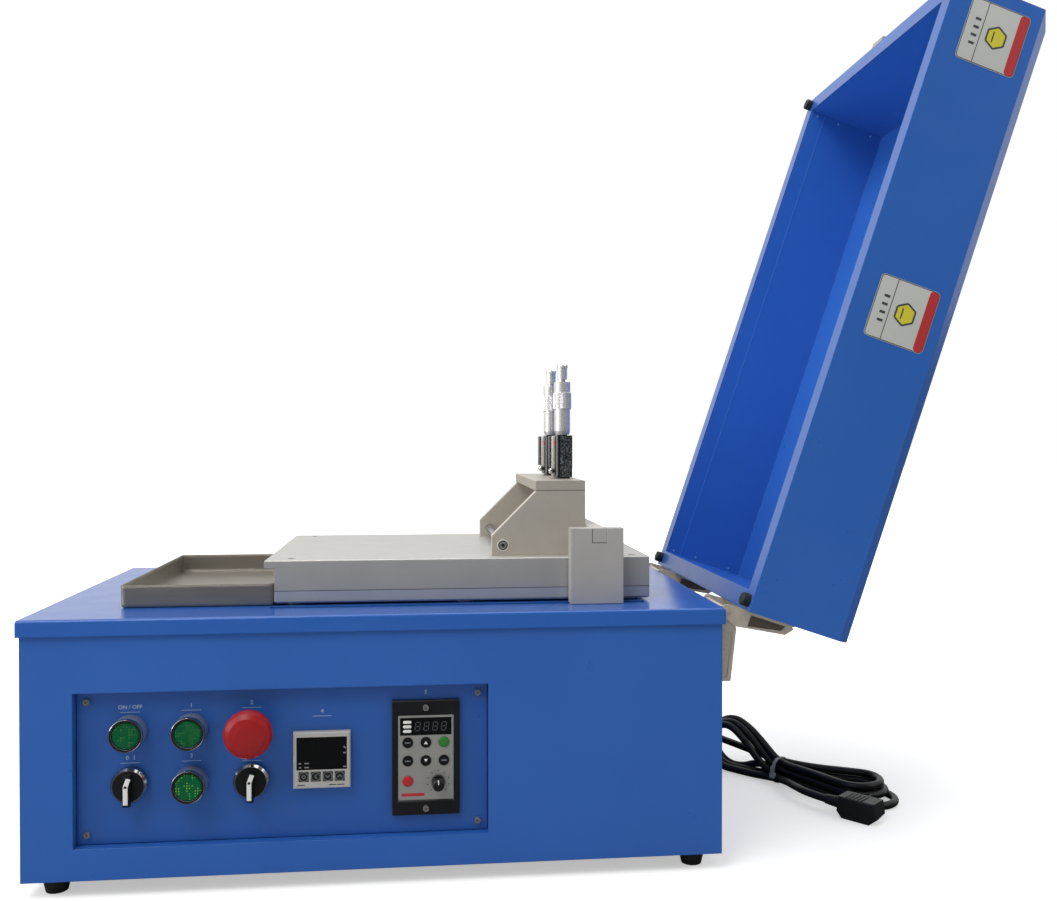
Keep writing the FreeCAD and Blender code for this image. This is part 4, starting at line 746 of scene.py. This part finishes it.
def knob_pointers():
    """The pale bent pointer let into each selector's bar, with a dark dot at its bend."""
    outline = [(-1.9, -12.6), (1.9, -12.6), (1.9, 2.2), (4.2, 8.4), (0.7, 9.6), (-1.9, 2.8)]
    button = [(0, 0.75), (0.8, 0.75), (1.15, 0.62), (1.25, 0.3)]
    seat = near_face("mode_knob") + 0.1
    bend = LOWER_ROW + 2.2
    for name, x in (("mode", LEFT_COLUMN), ("direction", RIGHT_COLUMN)):
        piece(f"{name}_pointer", [plate(outline, 0.5, on_front(x, seat, LOWER_ROW), 0.15)],
              white_ink, f"{name}_knob")
        piece(f"{name}_dot", [lathe(button, 20, on_front(x, seat, bend))], black_plastic,
              f"{name}_knob")


def thermo_marks():
    """Bars printed on the window, and an outline and a sign on each key."""
    window_height = 27.9
    first_key, key_pitch, key_row = -67.1, 10.07, 94.7
    window = on_front(THERMO_COLUMN, near_face("display_windows"),
                      corners_of("display_windows")[0].z + window_height / 2)
    rows = [(-19.5, -17.2, -8.4), (-14.6, -10.8, -8.4), (-19.2, -17.2, -11.9),
            (-14.6, -10.8, -11.9), (18.0, 20.4, 0), (18.0, 20.4, -11.9)]
    bars = [bar((left, z), (right, z), 1.1, PRINT, window) for left, right, z in rows]
    bars.append(bar((18.4, 5.4), (20.2, 3.8), 1.1, PRINT, window))
    piece("window_marks", bars, grey_ink, "housing")
    foot = on_front(THERMO_COLUMN, near_face("temperature_controller"), 87.5)
    notes = [bar((left, 0), (right, 0), 0.8, PRINT, foot)
             for left, right in ((-20.5, -14), (6, 12), (13, 19))]
    piece("controller_notes", notes, dark_ink, "housing")
    signs = [around(1.3, 16), [(1.1, 1.9), (-0.9, 0), (1.1, -1.9)],
             [(-1.9, 1.0), (0, -1.0), (1.9, 1.0)], [(-1.9, -1.0), (0, 1.0), (1.9, -1.0)]]
    for number, sign in enumerate(signs, 1):
        key = f"thermo_key_{number}"
        spot = on_front(first_key + key_pitch * (number - 1), near_face(key), key_row)
        mark = stroke(around(4.0, 8, 22.5), 0.6, 0.12, spot) + stroke(sign, 0.75, 0.12, spot)
        piece(f"{key}_mark", mark, grey_ink, key)


def unlit_digit(spot):
    """A seven-segment digit that leans a little."""
    lean = 0.5
    ends = {"low_left": (-2 - lean, -3.6), "low_right": (2 - lean, -3.6),
            "left": (-2, 0), "right": (2, 0), "high_left": (-2 + lean, 3.6),
            "high_right": (2 + lean, 3.6)}
    pairs = [("low_left", "low_right"), ("left", "right"), ("high_left", "high_right"),
             ("low_left", "left"), ("low_right", "right"), ("left", "high_left"),
             ("right", "high_right")]
    parts = []
    for start, end in pairs:
        first, last = Vector(ends[start]), Vector(ends[end])
        trim = (last - first).normalized() * 0.5
        parts.append(bar(first + trim, last - trim, 0.75, 0.08, spot))
    return parts


def speed_marks():
    """The speed controller's unlit digits, lamps, key colours and signs, and its dial marks."""
    face = near_face("speed_controller")
    pad_front = near_face("speed_keypad") - 0.1
    left, right = SPEED_COLUMN - 15.5, SPEED_COLUMN + 15.5
    top_row, middle_row, low_row = 120.7, 104.9, 87.5
    knob = middle("speed_knob")
    glass = on_front(SPEED_COLUMN, face - 0.2, 134.5)
    digits = []
    for x in (-7, 0.5, 8, 15.5):
        digits += unlit_digit(glass @ shift(x, 0, 0))
    piece("unlit_digits", digits, segment_grey, "housing")
    lamps = [plate(rounded(7.2, 2.5, 1.2, centre=(-16, z)), 0.2, glass, 0.08)
             for z in (3.9, 0, -3.9)]
    piece("lamp_windows", lamps, white_ink, "housing")
    for name, x, z, material in (("green_key", right, top_row, green_pad),
                                 ("red_key", left, low_row, red_pad)):
        pad = lathe([(0, 0.5), (3.2, 0.45), (4.2, 0.2), (4.65, -0.3)], 32,
                    on_front(x, pad_front, z))
        piece(name, [pad], material, "housing")
    up_sign = [(-1.6, -1.2), (1.6, -1.2), (0, 1.5)]
    down_sign = [(-1.6, 1.2), (0, -1.5), (1.6, 1.2)]
    signs = [plate(sign, 0.3, on_front(SPEED_COLUMN, pad_front, z))
             for sign, z in ((up_sign, top_row - 0.3), (down_sign, middle_row + 0.3))]
    piece("up_down_signs", signs, white_ink, "housing")
    bars = [bar((-2.4, 0), (2.4, 0), 0.9, 0.3, on_front(x, pad_front, z))
            for x, z in ((left, top_row), (left, middle_row), (right, middle_row))]
    piece("key_bars", bars, grey_ink, "housing")
    ticks = [disc(0.55, PRINT, on_front(knob.x + x, face, knob.z + z), 10)
             for x, z in around(9.4, 8, -50, 280)]
    piece("dial_ticks", ticks, dark_ink, "housing")
    band = plate(rounded(20, 2.6, 1.1), PRINT, on_front(left + 4.4, face, 75.6))
    piece("controller_band", [band], red_ink, "housing")
    pointer = bar((0, 1.2), (0, 5.2), 0.9, 0.25,
                  on_front(knob.x, near_face("speed_knob") + 0.05, knob.z))
    piece("speed_pointer", [pointer], white_ink, "speed_knob")


# Lid

LID_OPEN = 108.6
HINGE_PIN = (306, 0, 228)
LID = shift(*HINGE_PIN) @ Matrix.Rotation(math.radians(LID_OPEN), 4, "Y")
HINGE_SIDES = (-156, 92)
LINER_SIDE = 157
LABEL_SIDE = 58
RIM_SIDE = 56.6


def hinge_pressings():
    """The pressed panels in the hinges' cheeks, each with a dimple, and on the arms a bead; on
    the arms the panel is a darker plate, painted shade in the pocket.
    """
    thin = 0.12
    arm_panel = [(-2.4, 22.9), (7.9, 22.9), (4.4, 53.7), (2.4, 56.7), (-2.4, 56.7)]
    leaf_panel = [(300.6, 167.1), (306.7, 167.1), (312.0, 207.9), (300.6, 207.9)]
    arm_parts, leaf_parts = [], []
    for start in HINGE_SIDES:
        for y in (start + 0.6, start + 63.4 + thin):
            # On each arm a darker plate paints the shade in the pocket, with its bead and dimple.
            arm_parts += [plate(arm_panel, thin, LID @ on_front(0, y, 0)),
                          bar((-0.2, 26), (-0.2, 50), 0.9, 0.3, LID @ on_front(0, y, 0)),
                          dome(1.1, 0.5, LID @ on_front(2.6, y, 38))]
        for y in (start + 3.1, start + 60.9 + thin):
            leaf_parts += [plate(leaf_panel, thin, on_front(0, y, 0)),
                           dome(1.0, 0.5, on_front(305.4, y, 192))]
    piece("hinge_arm_pressings", arm_parts, pocket_shade_plate, "lid")
    piece("hinge_leaf_pressings", leaf_parts, plated, "housing")


def lid_weld_marks():
    """Small spot welds where the liner's sides meet its end walls, and its folded lines, both
    drawn in paler blues as painted highlights on these bumps and folds.
    """
    raised = 0.25
    dots = [dome(1.2, 0.35, LID @ on_front(x, y, height))
            for x in (-584, -28) for height in (22, 50, 93) for y in (-LINER_SIDE, LINER_SIDE)]
    piece("liner_welds", dots, weld_highlight_paint, "lid")
    folds = [bar((-587, 31), (-25, 31), 0.9, raised, LID @ on_front(0, y, 0))
             for y in (LINER_SIDE, raised - LINER_SIDE)]
    piece("liner_folds", folds, fold_highlight_paint, "lid")


def lid_plates():
    """Two plain label plates on the lid's near side, with ruled lines and coloured patches."""
    thin = 0.08
    film_front = 0.3
    patch_aside = 2.5
    for name, x, z in (("upper", 544.6, 743.3), ("lower", 460.3, 494.0)):
        place = on_front(x, near_face("lid_shell"), z, 90 - LID_OPEN)
        on_film = place @ shift(0, 0, film_front)
        on_patch = place @ shift(patch_aside, 0, film_front + PRINT)
        film = plate(rounded(LABEL_SIDE, LABEL_SIDE, 4), film_front, place, 0.1)
        piece(f"{name}_label", [film], label_film, "lid")
        edge = rounded(RIM_SIDE, RIM_SIDE, 3.4)
        lines = stroke(edge + edge[:1], 0.7, thin, on_film)
        lines.append(bar((-12.5, -28), (-12.5, 28), 0.7, thin, on_film))
        lines += [bar((-21, along), (-15.5, along), 2.4, thin, on_film)
                  for along in (-12, -4.5, 3, 10.5)]
        lines += stroke(around(10.2, 6, 30), 1.6, thin, on_patch)
        lines.append(bar((-3, -5), (-3, 5), 1.2, thin, on_patch))
        piece(f"{name}_label_lines", lines, dark_ink, "lid")
        patch = plate(around(10.4, 6, 30)[:-1], PRINT, on_film @ shift(patch_aside, 0, 0))
        piece(f"{name}_label_patch", [patch], yellow_ink, "lid")
        strip = plate(rounded(9, 56, 3, centre=(23.6, 0)), PRINT, on_film)
        piece(f"{name}_label_strip", [strip], red_ink, "lid")


# Applicator

THIMBLES = ("near_thimble", "far_thimble")
GRIP_BOTTOM = 411.7
GRIP_TOP = 427.7
SCALE_FOOT = 386.6
CROWN_FOOT = 452.2
FRAME_LENGTH = 16
FRAME_WIDTH = 30
FRAME_MIDDLE = 365.1


def knurling(spot):
    """Straight teeth round the grip, between two broken edges."""
    teeth = 56
    groove = 0.28
    profile = [(GRIP_BOTTOM, 8.4), (GRIP_BOTTOM + 0.7, 8.95), (GRIP_TOP - 0.7, 8.95),
               (GRIP_TOP, 8.4)]

    def build(shape):
        rings = []
        for height, reach in profile:
            loop = []
            for step in range(teeth * 2):
                radius = reach - (groove if step % 2 else 0)
                turn = math.pi * step / teeth
                loop.append(shape.verts.new(spot @ (Vector((
                    radius * math.cos(turn), radius * math.sin(turn), height)) * MM)))
            rings.append(loop)
        skin(shape, rings)
    return build


def thimble_scale(spot):
    """Fifty lines on the taper, every fifth one long."""
    divisions = 50
    foot_radius = 6.82
    slope = Matrix.Rotation(math.atan2(1.1, 5.85), 4, "Y")
    lines = []
    for step in range(divisions):
        turn = Matrix.Rotation(2 * math.pi * step / divisions, 4, "Z")
        face = spot @ turn @ shift(foot_radius, 0, SCALE_FOOT) @ slope @ OUTWARD
        reach = 2.6 if step % 5 == 0 else 1.5
        lines.append(bar((0, 0), (0, reach), 0.16, 0.05, face))
    return lines


def thimble_details():
    """The knurled grip round each thimble, its scale lines and the toothed ratchet top."""
    for name in THIMBLES:
        head = middle(name)
        spot = shift(head.x, head.y, 0)
        piece(f"{name}_knurling", [knurling(spot)], thimble_chrome, name, 12)
        piece(f"{name}_scale", thimble_scale(spot), dark_ink, name)
        teeth = [plate(rounded(2.0, 1.9, 0.3), 2.8,
                       spot @ Matrix.Rotation(math.radians(45 * step), 4, "Z")
                       @ shift(4.35, 0, CROWN_FOOT), 0.25) for step in range(8)]
        piece(f"{name}_crown", teeth, thimble_chrome, name)


def head_fittings():
    """What each micrometer frame carries: clamp block, rib, a black plate as painted shade in the
    groove, red mark, a pale strip as painted highlight on its rounded near edge, and lock ball.
    """
    left = corners_of("micrometer_frames")[1].x - FRAME_LENGTH
    blocks, ribs, groove_shades, marks, edges, corners, balls = [], [], [], [], [], [], []
    for y in (middle(name).y for name in THIMBLES):
        def on_left(aside, z, out=0.0):
            return shift(left - out, y + aside, z) @ LEFTWARD

        near = y - FRAME_WIDTH / 2
        blocks.append(plate(rounded(14.5, 31, 1.5), 4.6, on_left(6.6, 369.2), 0.8))
        ribs.append(plate(rounded(4, 39, 0.8), 2.9, on_left(-3, FRAME_MIDDLE), 0.5))
        # A thin black plate: painted shade in the groove beside the rib.
        groove_shades.append(plate(rounded(8, 38, 0.6), 0.3, on_left(-9.2, FRAME_MIDDLE), 0.1))
        marks.append(plate(rounded(7.6, 4.6, 0.5), 0.6, on_left(-9.2, 377.5, 0.3), 0.1))
        # A thin pale strip: painted highlight on the frame's rounded near edge.
        edges.append(plate(rounded(1.3, 39, 0.4), 0.8,
                           on_front(left + 1, near + 0.7, FRAME_MIDDLE), 0.2))
        corners.append(plate(rounded(2, 40, 0.4), 0.12, on_front(left + 3, near, FRAME_MIDDLE)))
        balls.append(dome(3.0, 3.0, shift(left - 4, y - 7.5, 350.6), 12))
    for name, parts, material, slot in (
            ("head_blocks", blocks, crackle_black, "frame_black"),
            ("head_ribs", ribs, silver_rim, "bright_chrome"),
            ("head_groove_shades", groove_shades, black_plastic, "black_plastic"),
            ("head_marks", marks, red_ink, "red_plastic"),
            ("head_edge_highlights", edges, silver_plate, "bright_chrome"),
            ("head_corners", corners, black_plastic, "black_plastic"),
            ("lock_balls", balls, chrome, "bright_chrome")):
        piece(name, parts, material, "applicator")


def tie_rod_ends():
    """The tie rod's socket screw in its bright rim, at each cheek."""
    rod = middle("applicator_tie_rod")
    near, far = (corner.y for corner in corners_of("applicator_cheeks"))
    about = Matrix.Rotation(math.pi, 4, "Z")
    for name, end in (("near", shift(rod.x, near, rod.z) @ FRONT),
                      ("far", shift(rod.x, far, rod.z) @ about @ FRONT)):
        piece(f"{name}_tie_rim", [ring(4.5, 5.5, 0.3, end)], silver_rim, "applicator")
        piece(f"{name}_tie_socket", [ring(3.6, 4.5, 0.12, end), disc(1.5, 0.32, end, 6)],
              black_plastic, "applicator")
        piece(f"{name}_tie_screw", [ring(1.5, 3.6, 0.3, end, 24)], screw_steel, "applicator")


def joint_lines():
    """The dark lines where machined parts meet: under the top bar, the bed and the pusher bar."""
    top_bar = corners_of("applicator_crossbar")
    bed = corners_of("bed_plate")
    bed_left = corners_of("bed_base_plate")[0].x
    pusher, pusher_end = corners_of("pusher_bar")
    for name, body, y, lines in (
            ("top_bar_joint", "applicator", top_bar[0].y,
             [((top_bar[0].x, top_bar[0].z), (top_bar[1].x, top_bar[0].z))]),
            ("bed_joint", "housing", bed[0].y, [((bed_left, bed[0].z), (bed[1].x, bed[0].z))]),
            ("bar_joint", "carriage", pusher.y,
             [((pusher.x, pusher_end.z - 0.2), (pusher.x, pusher.z)),
              ((pusher.x - 0.2, pusher.z), (pusher_end.x + 0.2, pusher.z))])):
        seam = [bar(start, end, 0.5, 0.06, on_front(0, y, 0)) for start, end in lines]
        piece(name, seam, dark_ink, body)


panel_captions()
button_trims()
hinge_pressings()
lid_weld_marks()
knob_pointers()
thermo_marks()
speed_marks()
lid_plates()
thimble_details()
head_fittings()
tie_rod_ends()
joint_lines()


# Studio

FLOOR_REACH = 12


def seen_by_camera(view):
    return view.node("LightPath", {}, {}, "Is Camera Ray")


def floor():
    """White paper: lit and grey near the part, glowing further out, dark in reflections."""
    paper = Finish("floor_paper", "#dedede", roughness=0.9, specular_ior_level=0.0,
                   emission_strength=1.0)
    reach = (paper.along("X") ** 2 + paper.along("Y") ** 2) ** 0.5
    far = ((reach - 0.5) / 0.8).clipped()
    glow = paper.blend(seen_by_camera(paper), "#000000", paper.blend(far, "#b4b4b4", "#ffffff"))
    sheet = paper.blend(paper.grain(3, 2), "#dcdcdc", "#e2e2e2")
    mirrored = paper.node("LightPath", {}, {}, "Is Glossy Ray")
    paper.feed(base_color=paper.blend(mirrored, sheet, "#565656"), emission_color=glow)
    mesh = bpy.data.meshes.new("floor")
    corners = [(x * FLOOR_REACH, y * FLOOR_REACH, 0)
               for x, y in ((-1, -1), (1, -1), (1, 1), (-1, 1))]
    mesh.from_pydata(corners, [], [(0, 1, 2, 3)])
    mesh.materials.append(paper.material)
    made = bpy.data.objects.new("floor", mesh)
    scene.collection.objects.link(made)


class Sky(Finish):
    """The world, built with the same shader maths."""

    def __init__(self):
        self.material = bpy.data.worlds.new("studio")
        self.material.use_nodes = True
        self.tree = self.material.node_tree
        self.shader = self.tree.nodes["Background"]
        scene.world = self.material


def soft_light(name, spot, aim, size, power):
    lamp = bpy.data.lights.new(name, "AREA")
    lamp.shape = "SQUARE"
    lamp.size = size
    lamp.energy = power
    made = bpy.data.objects.new(name, lamp)
    made.location = spot
    made.rotation_euler = (Vector(aim) - Vector(spot)).to_track_quat("-Z", "Y").to_euler()
    scene.collection.objects.link(made)


def studio():
    """A pale room, bright behind and to the left in reflections, and four soft lights."""
    floor()
    sky = Sky()
    direction = sky.node("TexCoord", {}, {}, "Generated")
    behind = sky.node("SeparateXYZ", {}, {0: direction}, "Y")
    rightward = sky.node("SeparateXYZ", {}, {0: direction}, "X")
    bright = ((behind + 0.2) / 0.5).clipped() + ((-0.35 - rightward) / 0.3).clipped()
    room = sky.blend(bright.clipped(), "#484848", "#f0f0f0")
    plain = sky.blend(sky.node("LightPath", {}, {}, "Is Diffuse Ray"), room, "#a4a4a4")
    sky.feed(color=sky.blend(seen_by_camera(sky), plain, "#ffffff"))
    soft_light("key", (-1.1, -1.5, 2.7), (0.1, 0, 0.2), 1.4, 41)
    soft_light("left", (-2.4, -0.5, 1.0), (0.45, 0, 0.5), 1.6, 28)
    soft_light("side", (2.4, -1.2, 1.8), (0.3, 0, 0.4), 1.4, 14)
    soft_light("top", (0.2, 0.2, 2.6), (0.2, 0, 0.2), 1.8, 24)
    scene.view_settings.view_transform = "Standard"


studio()
